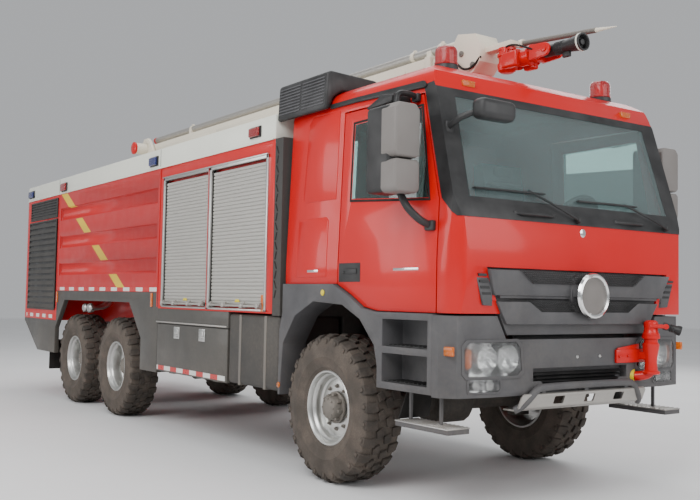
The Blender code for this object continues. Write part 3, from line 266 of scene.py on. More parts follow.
@dataclass(frozen=True)
class Paint(Finish):
    """Sprayed paint with a faint orange peel, slightly uneven in colour and gloss."""

    roughness: float = 0.3
    coat: float = 0.2
    dust: float = 0.12
    dust_top: float = 1.6

    def tint(self, graph: Graph) -> Socket:
        """Colour before any dust."""
        shade = graph.span(graph.noise(1.1, 3.0), 0.3, 0.7)
        return graph.blend(shade, mixed(self.colour, (0, 0, 0), 0.07), self.colour)

    def dress(self, graph: Graph) -> None:
        """Fills in the node tree."""
        graph.set(Base_Color=graph.dusted(self.tint(graph), DUST, self.dust, self.dust_top))
        wear = graph.span(graph.noise(5.0, 6.0), 0.3, 0.7, self.roughness, self.roughness + 0.12)
        graph.set(Roughness=wear, Coat_Weight=self.coat, Coat_Roughness=0.08, Specular_IOR_Level=0.3)
        graph.bump(graph.noise(260.0, 2.0), 0.05, 0.001)
        graph.bump(graph.noise(1.4, 2.0), 0.12, 0.02)


@dataclass(frozen=True)
class BandPaint(Paint):
    """Body paint with a yellow slash that runs down across the raised bands."""

    slash: Colour = (0.75, 0.5, 0.01)
    slash_aft: float = 6.435
    slash_top: float = 2.77
    slope: float = 1.70
    half_width: float = 0.125
    bands: tuple[Flat, ...] = ((2.572, 2.775), (2.205, 2.405), (1.836, 2.028), (1.50, 1.662))

    def tint(self, graph: Graph) -> Socket:
        """Colour with the slash on the raised bands."""
        z = graph.axis(Axis.Z)
        drop = graph.sum("SUBTRACT", self.slash_top, z)
        line = graph.sum("SUBTRACT", aft(self.slash_aft), graph.sum("MULTIPLY", drop, self.slope))
        away = graph.sum("ABSOLUTE", graph.sum("SUBTRACT", graph.axis(Axis.Y), line))
        across = graph.sum("LESS_THAN", away, self.half_width)
        raised = None
        for low, high in self.bands:
            inside = graph.sum("GREATER_THAN", z, low)
            inside = graph.sum("MULTIPLY", inside, graph.sum("LESS_THAN", z, high))
            raised = inside if raised is None else graph.sum("ADD", raised, inside)
        outer = graph.sum("GREATER_THAN", graph.sum("ABSOLUTE", graph.axis(Axis.X)), 1.2)
        mask = graph.sum("MULTIPLY", graph.sum("MULTIPLY", across, raised), outer)
        return graph.blend(mask, super().tint(graph), self.slash)


@dataclass(frozen=True)
class Chequer(Finish):
    """Reflective tape in two colours that take turns along the truck."""

    other: Colour = (0.55, 0.02, 0.02)
    period: float = 0.38
    start: float = 0.0

    def dress(self, graph: Graph) -> None:
        """Fills in the node tree."""
        along = graph.sum("SUBTRACT", graph.axis(Axis.Y), self.start)
        turn = graph.sum("FRACT", graph.sum("DIVIDE", along, self.period))
        mask = graph.sum("GREATER_THAN", turn, 0.5)
        tape = graph.dusted(graph.blend(mask, self.colour, self.other), DUST, 0.25, 2.0)
        graph.set(Base_Color=tape, Roughness=graph.span(graph.noise(30.0), 0.3, 0.7, 0.25, 0.45))
        cells = graph.node("TexVoronoi", {"Vector": graph.place, "Scale": 220.0})
        graph.bump(cells.outputs["Distance"], 0.25, 0.001)


@dataclass(frozen=True)
class Plastic(Finish):
    """Moulded plastic with a fine grain."""

    roughness: float = 0.5
    grain: float = 420.0
    dust: float = 0.15
    dust_top: float = 2.0

    def dress(self, graph: Graph) -> None:
        """Fills in the node tree."""
        pale = mixed(self.colour, (0.5, 0.5, 0.5), 0.06)
        shade = graph.blend(graph.span(graph.noise(4.0, 5.0), 0.3, 0.7), self.colour, pale)
        graph.set(Base_Color=graph.dusted(shade, DUST, self.dust, self.dust_top))
        rough = graph.span(graph.noise(9.0, 5.0), 0.3, 0.7, self.roughness, self.roughness + 0.15)
        graph.set(Roughness=rough, Specular_IOR_Level=0.4)
        graph.bump(graph.noise(self.grain, 2.0), 0.18, 0.0008)


@dataclass(frozen=True)
class Metal(Finish):
    """Bare, brushed or plated metal with streaks along one axis."""

    roughness: float = 0.35
    metallic: float = 1.0
    streaks: Point = (60.0, 2.0, 60.0)
    dust: float = 0.1
    dust_top: float = 1.6

    def dress(self, graph: Graph) -> None:
        """Fills in the node tree."""
        brushed = graph.noise(6.0, 6.0, graph.stretched(self.streaks))
        dull = mixed(self.colour, (0.05, 0.05, 0.05), 0.18)
        shade = graph.blend(graph.span(brushed, 0.3, 0.7), dull, self.colour)
        graph.set(Base_Color=graph.dusted(shade, DUST, self.dust, self.dust_top))
        rough = graph.span(brushed, 0.25, 0.75, self.roughness - 0.06, self.roughness + 0.1)
        graph.set(Roughness=rough, Metallic=self.metallic)
        graph.bump(brushed, 0.08, 0.001)


@dataclass(frozen=True)
class Rubber(Finish):
    """Tyre or seal rubber under dry road dust."""

    dust: float = 0.55
    dust_top: float = 1.3

    def dress(self, graph: Graph) -> None:
        """Fills in the node tree."""
        patch = graph.span(graph.noise(7.0, 8.0), 0.35, 0.7, 0.35, 1.0)
        fine = graph.span(graph.noise(90.0, 4.0), 0.3, 0.7, 0.6, 1.0)
        cover = graph.sum("MULTIPLY", graph.sum("MULTIPLY", patch, fine), self.dust)
        graph.set(Base_Color=graph.blend(cover, self.colour, (0.17, 0.135, 0.11)))
        graph.set(Roughness=graph.span(graph.noise(12.0), 0.3, 0.7, 0.75, 0.95))
        graph.set(Specular_IOR_Level=0.25)
        graph.bump(graph.noise(150.0, 6.0), 0.3, 0.002)


@dataclass(frozen=True)
class Glass(Finish):
    """Tinted safety glass with a little haze."""

    haze: float = 0.02
    clear: float = 0.92

    def dress(self, graph: Graph) -> None:
        """Fills in the node tree."""
        film = graph.span(graph.noise(2.0, 6.0), 0.45, 0.8)
        graph.set(Base_Color=graph.blend(film, self.colour, mixed(self.colour, DUST, 0.12)))
        graph.set(Roughness=graph.sum("MULTIPLY", film, self.haze), IOR=1.45)
        graph.set(Transmission_Weight=self.clear)


@dataclass(frozen=True)
class Lens(Finish):
    """Moulded lamp lens with fine flutes."""

    transmission: float = 0.55
    flutes: float = 150.0
    glow: float = 0.0

    def dress(self, graph: Graph) -> None:
        """Fills in the node tree."""
        inputs = {"Vector": graph.place, "Scale": self.flutes, "Distortion": 0.0}
        wave = graph.node("TexWave", inputs, bands_direction="Z").outputs["Fac"]
        deep = mixed(self.colour, (0, 0, 0), 0.35)
        graph.set(Base_Color=graph.blend(wave, deep, self.colour), Roughness=0.12, IOR=1.49)
        graph.set(Transmission_Weight=self.transmission, Coat_Weight=0.5)
        if self.glow:
            graph.set(Emission_Color=self.colour, Emission_Strength=self.glow)
        graph.bump(wave, 0.5, 0.002)


@dataclass(frozen=True)
class Cloth(Finish):
    """Woven seat cloth."""

    threads: float = 520.0

    def dress(self, graph: Graph) -> None:
        """Fills in the node tree."""
        scale = {"Vector": graph.place, "Scale": self.threads / 6.28}
        warp = graph.node("TexWave", scale, bands_direction="X").outputs["Fac"]
        weft = graph.node("TexWave", scale, bands_direction="Y").outputs["Fac"]
        rise = graph.node("TexWave", scale, bands_direction="Z").outputs["Fac"]
        weave = graph.sum("MULTIPLY", graph.sum("ADD", warp, rise), weft)
        pale = mixed(self.colour, (0.4, 0.4, 0.42), 0.2)
        graph.set(Base_Color=graph.blend(weave, self.colour, pale), Roughness=0.95)
        graph.set(Sheen_Weight=0.4, Sheen_Roughness=0.5)
        graph.bump(weave, 0.4, 0.001)


@dataclass(frozen=True)
class Tread(Finish):
    """Aluminium tread plate with raised bars at two angles."""

    def dress(self, graph: Graph) -> None:
        """Fills in the node tree."""
        turned = graph.node("Mapping", {"Vector": graph.place, "Rotation": (0.0, 0.0, 0.785)})
        inputs = {"Vector": turned.outputs[0], "Scale": 60.0, "Color1": (1.0,) * 4}
        inputs["Color2"] = (0.0, 0.0, 0.0, 1.0)
        bars = graph.node("TexChecker", inputs).outputs["Fac"]
        worn = graph.blend(bars, mixed(self.colour, DUST, 0.5), self.colour)
        graph.set(Base_Color=worn, Metallic=0.9, Roughness=0.38)
        graph.bump(bars, 0.4, 0.002)


RED = Paint("red_paint", (0.58, 0.002, 0.002), roughness=0.3, coat=0.25, dust=0.04)
TANK_RED = BandPaint("tank_paint", (0.53, 0.004, 0.005), roughness=0.34, coat=0.2, dust=0.10)
WHITE = Paint("white_paint", (0.76, 0.77, 0.68), roughness=0.38, coat=0.2, dust=0.10, dust_top=3.0)
BOOM_WHITE = Paint("boom_paint", (0.74, 0.68, 0.56), roughness=0.42, coat=0.1, dust_top=3.6)
SKIRT_GREY = Paint("skirt_paint", (0.060, 0.058, 0.053), roughness=0.42, coat=0.1, dust=0.45)
DARK_GREY = Paint("dark_paint", (0.042, 0.041, 0.039), roughness=0.5, coat=0.0, dust=0.35, dust_top=2.6)
GREY = Plastic("grey_plastic", (0.055, 0.055, 0.060), roughness=0.48, dust=0.3)
BLACK = Plastic("black_plastic", (0.006, 0.006, 0.0065), roughness=0.4, dust=0.05)
MIRROR_GREY = Plastic("mirror_plastic", (0.17, 0.155, 0.145), roughness=0.55, dust_top=3.0)
CHASSIS = Paint("chassis_paint", (0.035, 0.034, 0.033), roughness=0.6, coat=0.0, dust=0.6)
UNDER_RED = Paint("under_paint", (0.30, 0.02, 0.015), roughness=0.6, coat=0.0, dust=0.6)
SHUTTER = Metal("shutter_metal", (0.50, 0.485, 0.45), roughness=0.46, metallic=0.55, dust_top=3.0)
SILVER = Metal("silver_metal", (0.62, 0.62, 0.60), roughness=0.33)
WORN_SILVER = Metal("worn_metal", (0.47, 0.45, 0.42), roughness=0.45, metallic=0.8, dust=0.5)
HUB_STEEL = Metal("hub_metal", (0.20, 0.185, 0.165), roughness=0.55, metallic=0.5, dust=0.6)
CHROME = Metal("chrome_metal", (0.86, 0.86, 0.85), roughness=0.12, dust=0.0)
TYRE = Rubber("tyre_rubber", (0.028, 0.026, 0.024))
TYRE_WALL = Rubber("tyre_wall", (0.05, 0.044, 0.038), dust=0.7)
SEAL = Rubber("seal_rubber", (0.012, 0.012, 0.012), dust=0.12)
WINDOW = Glass("window_glass", (0.30, 0.42, 0.40))
SCREEN = Glass("screen_glass", (0.46, 0.60, 0.60), clear=0.86)
CLEAR = Lens("clear_lens", (0.95, 0.96, 0.96), transmission=1.0, flutes=40.0)
RED_LENS = Lens("red_lens", (0.62, 0.01, 0.012), glow=0.08)
BLUE_LENS = Lens("blue_lens", (0.01, 0.03, 0.30), glow=0.05)
AMBER = Lens("amber_lens", (0.9, 0.22, 0.01), glow=0.15)
YELLOW = Paint("yellow_paint", (0.78, 0.62, 0.02), roughness=0.4, coat=0.2)
SEAT_CLOTH = Cloth("seat_cloth", (0.05, 0.05, 0.058))
TREAD_PLATE = Tread("tread_plate", (0.55, 0.54, 0.52))
UPPER_TAPE = Chequer("upper_tape", (0.72, 0.72, 0.68), period=0.385, start=aft(3.23))
LOWER_TAPE = Chequer("lower_tape", (0.72, 0.72, 0.68), period=0.305, start=aft(1.61))
REAR_TAPE = Chequer("rear_tape", (0.72, 0.72, 0.68), period=0.30, start=aft(6.81))


# ---- modelling moves ----------------------------------------------------------------
class Bench:
    """Modelling moves. Each leaves one mesh at the origin, with its place in its mesh."""

    @staticmethod
    def pick(*pieces: Piece) -> None:
        """Selects these pieces and nothing else."""
        bpy.ops.object.select_all(action="DESELECT")
        for piece in pieces:
            piece.select_set(True)
        if pieces:
            bpy.context.view_layer.objects.active = pieces[0]

    @staticmethod
    def settle() -> Piece:
        """Puts the new object's place, turn and scale into its mesh."""
        bpy.ops.object.transform_apply(location=True, rotation=True, scale=True)
        return bpy.context.object

    @staticmethod
    def block(low: Point, high: Point, round_by: float = 0.0, segments: int = 2) -> Piece:
        """Box between two corners, with rounded edges if asked.

        Args:
            low: One corner.
            high: The opposite corner.
            round_by: Width of the rounded edge.
            segments: Steps across the rounded edge.

        Returns:
            The new piece.
        """
        Bench.pick()
        centre = [(a + b) / 2 for a, b in zip(low, high)]
        scale = [abs(b - a) for a, b in zip(low, high)]
        bpy.ops.mesh.primitive_cube_add(size=1, location=centre, scale=scale)
        piece = Bench.settle()
        if round_by:
            Bench.rounded(piece, round_by, segments)
        return piece

    @staticmethod
    def drum(start: Point, end: Point, radius: float, end_radius: float | None = None,
             sides: int = 32, round_by: float = 0.0) -> Piece:
        """Round bar or cone from one point to another.

        Args:
            start: Centre of the first end.
            end: Centre of the other end.
            radius: Radius at the start.
            end_radius: Radius at the end, if it differs.
            sides: Steps round the bar.
            round_by: Width of the rounded rims.

        Returns:
            The new piece.
        """
        Bench.pick()
        run = Vector(end) - Vector(start)
        bpy.ops.mesh.primitive_cone_add(
            vertices=sides,
            radius1=radius,
            radius2=radius if end_radius is None else end_radius,
            depth=run.length,
            location=(Vector(start) + Vector(end)) / 2,
            rotation=run.to_track_quat("Z", "Y").to_euler(),
        )
        piece = Bench.settle()
        if round_by:
            Bench.rounded(piece, round_by, 2)
        return piece

    @staticmethod
    def ring_of(count: int, filled: bool) -> Piece:
        """Loop of vertices, ready to be laid out."""
        Bench.pick()
        fill = "NGON" if filled else "NOTHING"
        bpy.ops.mesh.primitive_circle_add(vertices=count, fill_type=fill, location=(0, 0, 0))
        return bpy.context.object

    @staticmethod
    def lay(u: float, v: float, along: float, axis: Axis) -> tuple[float, float, float]:
        """Point of an outline: (y, z) along X, (x, z) along Y, or (x, y) along Z."""
        if axis is Axis.X:
            return (along, u, v)
        return (u, along, v) if axis is Axis.Y else (u, v, along)

    @staticmethod
    def prism(points: Sequence[Flat], low: float, high: float, axis: Axis,
              round_by: float = 0.0) -> Piece:
        """Outline drawn out along an axis.

        Args:
            points: Corners of the outline, across the axis.
            low: Start of the run.
            high: End of the run.
            axis: Direction of the run.
            round_by: Width of the rounded edges.

        Returns:
            The new piece.
        """
        piece = Bench.ring_of(len(points), filled=True)
        for vertex, (u, v) in zip(piece.data.vertices, points):
            vertex.co = Bench.lay(u, v, low, axis)
        step = [0.0, 0.0, 0.0]
        step[axis.value] = high - low
        bpy.ops.object.mode_set(mode="EDIT")
        bpy.ops.mesh.select_all(action="SELECT")
        bpy.ops.mesh.extrude_region_move(TRANSFORM_OT_translate={"value": step})
        bpy.ops.mesh.select_all(action="SELECT")
        bpy.ops.mesh.normals_make_consistent(inside=False)
        bpy.ops.object.mode_set(mode="OBJECT")
        if round_by:
            Bench.rounded(piece, round_by, 2)
        return piece

    @staticmethod
    def lathe(profile: Sequence[Flat], centre: Point, axis: Point, steps: int = 48) -> Piece:
        """Closed profile turned round an axis.

        Args:
            profile: Corners as (radius, distance along the axis).
            centre: Point on the axis where the distance is 0.
            axis: Direction of the axis.
            steps: Steps round the axis.

        Returns:
            The new piece.
        """
        piece = Bench.ring_of(len(profile), filled=False)
        run = Vector(axis).normalized()
        side = run.orthogonal().normalized()
        for vertex, (radius, along) in zip(piece.data.vertices, profile):
            vertex.co = Vector(centre) + run * along + side * radius
        bpy.ops.object.mode_set(mode="EDIT")
        bpy.ops.mesh.select_all(action="SELECT")
        bpy.ops.mesh.spin(steps=steps, angle=math.tau, center=centre, axis=run)
        bpy.ops.mesh.select_all(action="SELECT")
        bpy.ops.mesh.remove_doubles(threshold=0.00005)
        bpy.ops.mesh.normals_make_consistent(inside=False)
        bpy.ops.object.mode_set(mode="OBJECT")
        return piece

    @staticmethod
    def tube(points: Sequence[Point], radius: float, sides: int = 3, smooth: bool = True) -> Piece:
        """Round tube through points.

        Args:
            points: Points on the middle of the tube.
            radius: Radius of the tube.
            sides: Half of the steps round the tube, less one.
            smooth: Whether the tube bends smoothly or in straight runs.

        Returns:
            The new piece.
        """
        Bench.pick()
        curve = bpy.data.curves.new("tube", "CURVE")
        curve.dimensions = "3D"
        curve.bevel_depth = radius
        curve.bevel_resolution = sides
        curve.use_fill_caps = True
        spline = curve.splines.new("NURBS" if smooth else "POLY")
        spline.points.add(len(points) - 1)
        for knot, point in zip(spline.points, points):
            knot.co = (*point, 1.0)
        spline.use_endpoint_u = True
        spline.order_u = min(3, len(points))
        curve.resolution_u = 6
        piece = bpy.data.objects.new("tube", curve)
        bpy.context.collection.objects.link(piece)
        Bench.pick(piece)
        bpy.ops.object.convert(target="MESH")
        bpy.ops.object.mode_set(mode="EDIT")
        bpy.ops.mesh.select_all(action="SELECT")
        bpy.ops.mesh.remove_doubles(threshold=0.00005)
        bpy.ops.mesh.normals_make_consistent(inside=False)
        bpy.ops.object.mode_set(mode="OBJECT")
        return bpy.context.object

    @staticmethod
    def apply(piece: Piece, kind: str, **settings) -> Piece:
        """Adds one modifier and applies it."""
        Bench.pick(piece)
        modifier = piece.modifiers.new("step", kind)
        for key, value in settings.items():
            setattr(modifier, key, value)
        bpy.ops.object.modifier_apply(modifier=modifier.name)
        return piece

    @staticmethod
    def rounded(piece: Piece, width: float, segments: int = 2, angle: float = 28.0) -> Piece:
        """Rounds the edges sharper than an angle."""
        return Bench.apply(
            piece,
            "BEVEL",
            width=width,
            segments=segments,
            limit_method="ANGLE",
            angle_limit=math.radians(angle),
            miter_outer="MITER_ARC",
        )

    @staticmethod
    def carve(piece: Piece, *cutters: Piece, operation: str = "DIFFERENCE") -> Piece:
        """Cuts other pieces out of one, and removes them."""
        for cutter in cutters:
            Bench.apply(piece, "BOOLEAN", operation=operation, object=cutter, solver="EXACT")
            bpy.data.objects.remove(cutter)
        return piece

    @staticmethod
    def join(*pieces: Piece) -> Piece:
        """Makes one object of several."""
        Bench.pick(*pieces)
        bpy.ops.object.join()
        return bpy.context.object

    @staticmethod
    def twin(piece: Piece, matrix: Matrix) -> Piece:
        """Copy with its own mesh, moved, turned or mirrored by a matrix."""
        copy = piece.copy()
        copy.data = piece.data.copy()
        bpy.context.collection.objects.link(copy)
        copy.data.transform(matrix)
        if matrix.determinant() < 0:
            copy.data.flip_normals()
        return copy

    @staticmethod
    def moved(piece: Piece, *step: float) -> Piece:
        """Copy of a piece, moved by a step."""
        return Bench.twin(piece, Matrix.Translation(step))

    @staticmethod
    def mirrored(piece: Piece) -> Piece:
        """Copy of a piece on the other side of the truck."""
        return Bench.twin(piece, Matrix.Scale(-1, 4, (1, 0, 0)))

    @staticmethod
    def turned(piece: Piece, centre: Point, axis: Point, angle: float) -> Piece:
        """Copy of a piece, turned about an axis through a point."""
        here = Matrix.Translation(centre)
        return Bench.twin(piece, here @ Matrix.Rotation(angle, 4, Vector(axis)) @ here.inverted())

    @staticmethod
    def from_node(node: str) -> Piece:
        """Whole, merged copy of a frame node, with its flat faces made one."""
        piece = frame["nodes"][node].copy()
        piece.data = piece.data.copy()
        piece.parent = None
        piece.matrix_world = Matrix.Identity(4)
        piece.hide_render = False
        piece.data.materials.clear()
        bpy.context.collection.objects.link(piece)
        piece.hide_viewport = False
        piece.hide_set(False)
        Bench.pick(piece)
        bpy.ops.object.mode_set(mode="EDIT")
        bpy.ops.mesh.select_all(action="SELECT")
        bpy.ops.mesh.remove_doubles(threshold=0.00005)
        bpy.ops.mesh.dissolve_limited(angle_limit=math.radians(1.0))
        bpy.ops.object.mode_set(mode="OBJECT")
        return piece


class Yard:
    """Places finished pieces on the truck and reports them."""

    count = 0

    @staticmethod
    def set(piece: Piece, name: str, body: str, finish: Finish, slot: str,
            stands_for: Sequence[str] = (), angle: float = 35.0) -> Piece:
        """Finishes a piece: name, material, shading and the body that it rides on.

        Args:
            piece: The finished mesh.
            name: Name of the piece.
            body: Moving body that carries it.
            finish: Its surface.
            slot: Not used.
            stands_for: Frame nodes that it takes the place of.
            angle: Edges sharper than this stay sharp.

        Returns:
            The piece.
        """
        piece.name = name
        piece.data.name = name
        if not piece.data.materials:
            piece.data.materials.append(finish.make())
        Bench.pick(piece)
        bpy.ops.object.shade_smooth_by_angle(angle=math.radians(angle))
        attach(piece, body)
        if stands_for:
            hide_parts(*stands_for)
        Yard.count += 1
        LOG.info("%s on %s: %d faces", name, body, len(piece.data.polygons))
        return piece

    @staticmethod
    def refine(node: str, finish: Finish, slot: str, width: float = 0.008,
               segments: int = 2) -> Piece:
        """Stands a copy with rounded edges in for a frame node.

        Args:
            node: The frame node.
            finish: Its surface.
            slot: Slot name, passed on to Yard.set.
            width: Width of the rounded edges.
            segments: Steps across a rounded edge.

        Returns:
            The new piece.
        """
        piece = Bench.from_node(node)
        if width:
            Bench.rounded(piece, width, segments)
        name = node + "_skin"
        return Yard.set(piece, name, body_of(frame["nodes"][node])[0], finish, slot, [node])

    @staticmethod
    def pair(piece: Piece, name: str, body: str, finish: Finish, slot: str,
             stands_for: Sequence[str] = (), angle: float = 35.0) -> None:
        """Sets a right-hand piece and its mirror image.

        Args:
            piece: The finished mesh on the right side of the truck.
            name: Name of the piece, with {} where the side goes.
            body: Body that carries it, with {} where the side goes.
            finish: Its surface.
            slot: Slot name, passed on to Yard.set.
            stands_for: Frame nodes that it takes the place of, with {} for the side.
            angle: Edges sharper than this stay sharp.
        """
        other = Bench.mirrored(piece)
        for made, side in ((piece, Side.RIGHT), (other, Side.LEFT)):
            nodes = [node.format(side.word) for node in stands_for]
            title, rider = name.format(side.word), body.format(side.word)
            Yard.set(made, title, rider, finish, slot, nodes, angle)


# ---- wheels -------------------------------------------------------------------------
@dataclass
class Wheels:
    """Six off-road tyres on silver rims with reduction hubs."""

    radius: float = 0.553
    lug_radius: float = 0.5730
    half_width: float = 0.182
    tread_half: float = 0.148
    bead: float = 0.272
    lugs: int = 26
    nuts: int = 10

    def carcass(self, x: float) -> Piece:
        """Tyre body as one turned profile, with ribs on its walls."""
        outer = [
            (self.bead, 0.120),
            (0.285, 0.140),
            (0.300, 0.142),
            (0.318, 0.158),
            (0.330, 0.157),
            (0.360, 0.172),
            (0.395, self.half_width),
            (0.402, self.half_width - 0.004),
            (0.440, self.half_width - 0.002),
            (0.447, self.half_width - 0.006),
            (0.490, 0.172),
            (0.520, 0.163),
            (0.540, self.tread_half + 0.004),
            (0.552, 0.120),
            (self.radius, 0.060),
        ]
        inner = [(0.50, -0.10), (0.50, 0.10), (0.30, 0.11)]
        profile = [(r, s) for r, s in outer]
        profile += [(r, -s) for r, s in reversed(outer)]
        profile += [(0.30, -0.11), inner[0], inner[1], inner[2]]
        return Bench.lathe(profile, (x, 0, 0), (1, 0, 0), steps=72)

    def lug(self, x: float, hand: int, shoulder: bool) -> Piece:
        """One tread block at the top of the tyre, skewed across it."""
        low, high = self.radius - 0.012, self.lug_radius
        if shoulder:
            plan = [
                (0.070, -0.036),
                (0.120, -0.046),
                (0.166, -0.040),
                (0.166, 0.030),
                (0.120, 0.026),
                (0.078, 0.034),
            ]
        else:
            plan = [(0.004, -0.030), (0.060, -0.052), (0.072, 0.008), (0.020, 0.034)]
        corners = [(x + hand * u, v * hand) for u, v in plan]
        block = Bench.prism(corners, low, high, Axis.Z)
        if shoulder:
            for vertex in block.data.vertices:
                if abs(vertex.co.x - x) > 0.15:
                    drop = 0.055 if vertex.co.z < self.radius else 0.024
                    vertex.co.z -= drop
        return Bench.rounded(block, 0.003, 1, 40.0)

    def tread(self, x: float) -> Piece:
        """All tread blocks, copied round the tyre."""
        pitch = math.tau / self.lugs
        seeds = []
        for hand, phase in ((1, 0.0), (-1, 0.5)):
            for shoulder, lead in ((True, 0.0), (False, 0.42)):
                seed = self.lug(x, hand, shoulder)
                seeds.append((seed, phase + lead))
        blocks = []
        for seed, phase in seeds:
            for index in range(self.lugs):
                angle = pitch * (index + phase)
                blocks.append(Bench.turned(seed, (x, 0, 0), (1, 0, 0), angle))
            bpy.data.objects.remove(seed)
        return Bench.join(*blocks)

    def wall_bars(self, x: float) -> Piece:
        """Short bars on the tyre walls, below the shoulder."""
        bars = []
        for hand in (1, -1):
            face = x + hand * 0.172
            low = (face - hand * 0.012, -0.014, 0.497)
            bar = Bench.block(low, (face + hand * 0.004, 0.014, 0.532), 0.004)
            for index in range(self.lugs):
                angle = math.tau * (index + 0.5 * (hand < 0)) / self.lugs
                bars.append(Bench.turned(bar, (x, 0, 0), (1, 0, 0), angle))
            bpy.data.objects.remove(bar)
        return Bench.join(*bars)

    def rim(self, x: float, out: int, disc: float) -> Piece:
        """Wheel dish: flanges, well, drop and disc.

        Args:
            x: Middle plane of the tyre.
            out: Sign of the outboard direction.
            disc: Inner face of the disc, outboard of the middle.

        Returns:
            The rim.
        """
        flange = [
            (0.292, 0.128),
            (0.292, 0.141),
            (0.286, 0.146),
            (0.276, 0.145),
            (0.268, 0.134),
            (0.262, 0.112),
            (0.248, 0.102),
            (0.240, 0.080),
            (0.236, disc + 0.030),
            (0.222, disc + 0.020),
            (0.195, disc + 0.028),
            (0.150, disc + 0.034),
            (0.118, disc + 0.030),
            (0.112, disc + 0.004),
            (0.236, disc),
            (0.244, -0.090),
            (0.262, -0.118),
            (0.276, -0.145),
            (0.292, -0.141),
            (0.292, -0.128),
            (0.272, -0.118),
            (0.256, -0.085),
            (0.250, 0.085),
            (0.270, 0.118),
        ]
        profile = [(r, s * out) for r, s in flange]
        return Bench.lathe(profile, (x, 0, 0), (1, 0, 0), steps=64)

    def nut_ring(self, x: float, out: int, face: float, radius: float, size: float) -> Piece:
        """Wheel nuts with their studs, copied round the hub."""
        start = x + out * face
        nut = Bench.drum((start, 0, radius), (start + out * size, 0, radius), size * 0.75, sides=6,
                         round_by=0.002)
        stud = Bench.drum((start, 0, radius), (start + out * size * 1.5, 0, radius), size * 0.38,
                          sides=12, round_by=0.001)
        collar = Bench.drum((start, 0, radius), (start + out * size * 0.3, 0, radius),
                            size * 1.0, sides=18, round_by=0.001)
        seed = Bench.join(nut, stud, collar)
        nuts = []
        for index in range(self.nuts):
            angle = math.tau * index / self.nuts
            nuts.append(Bench.turned(seed, (x, 0, 0), (1, 0, 0), angle))
        bpy.data.objects.remove(seed)
        return Bench.join(*nuts)

    def hub(self, x: float, out: int, disc: float, end: float) -> Piece:
        """Reduction hub with a stepped cap, planed flats and cap screws."""
        profile = [
            (0.0, disc - 0.06),
            (0.116, disc - 0.06),
            (0.116, disc + 0.034),
            (0.124, disc + 0.038),
            (0.124, disc + 0.052),
            (0.098, disc + 0.058),
            (0.094, end - 0.030),
            (0.082, end - 0.012),
            (0.060, end - 0.008),
            (0.050, end - 0.002),
            (0.030, end),
            (0.0, end),
        ]
        core = Bench.lathe([(r, s * out) for r, s in profile], (x, 0, 0), (1, 0, 0), steps=48)
        screw_at = x + out * (end - 0.016)
        screw = Bench.drum((screw_at, 0, 0.071), (screw_at + out * 0.012, 0, 0.071), 0.008,
                           sides=6, round_by=0.001)
        lug_low = (x + out * (disc + 0.04), -0.016, 0.088)
        lug = Bench.block(lug_low, (x + out * (end - 0.036), 0.016, 0.112), 0.006)
        extras = []
        for index in range(8):
            angle = math.tau * index / 8
            extras.append(Bench.turned(screw, (x, 0, 0), (1, 0, 0), angle))
            extras.append(Bench.turned(lug, (x, 0, 0), (1, 0, 0), angle + 0.2))
        bpy.data.objects.remove(screw)
        bpy.data.objects.remove(lug)
        return Bench.join(core, *extras)

    def build(self) -> None:
        """Models one front and one rear wheel, and copies them to all six places."""
        for kind in ("front", "rear"):
            x = abs(middle("tyre_" + kind + "_right").x)
            disc, end = (0.02, 0.150) if kind == "front" else (-0.045, 0.070)
            tyre = Bench.join(self.carcass(x), self.wall_bars(x))
            tread = self.tread(x)
            rim = self.rim(x, 1, disc)
            nuts = self.nut_ring(x, 1, disc + 0.026, 0.165, 0.020)
            hub = self.hub(x, 1, disc, end)
            places = ("front",) if kind == "front" else ("middle", "rear")
            for place in places:
                for side in Side:
                    self.put(place, side, tyre, tread, rim, nuts, hub)
            for seed in (tyre, tread, rim, nuts, hub):
                bpy.data.objects.remove(seed)

    def put(self, place: str, side: Side, *seeds: Piece) -> None:
        """Copies the pieces of a wheel to one place."""
        key = f"{place}_{side.word}"
        centre = middle("tyre_" + key)
        shift = Matrix.Translation((0, centre.y, centre.z))
        if side is Side.RIGHT:
            shift = shift @ Matrix.Scale(-1, 4, (1, 0, 0))
        kinds = (
            ("tyre", TYRE_WALL, "tyre", ["tyre_" + key]),
            ("tread", TYRE, "tyre", []),
            ("rim", SILVER, "silver", ["rim_" + key]),
            ("wheel_nuts", HUB_STEEL, "silver", []),
            ("hub", HUB_STEEL, "chassis", []),
        )
        for (word, finish, slot, nodes), seed in zip(kinds, seeds):
            piece = Bench.twin(seed, shift)
            Yard.set(piece, f"{word}_skin_{key}", "wheel_" + key, finish, slot, nodes)


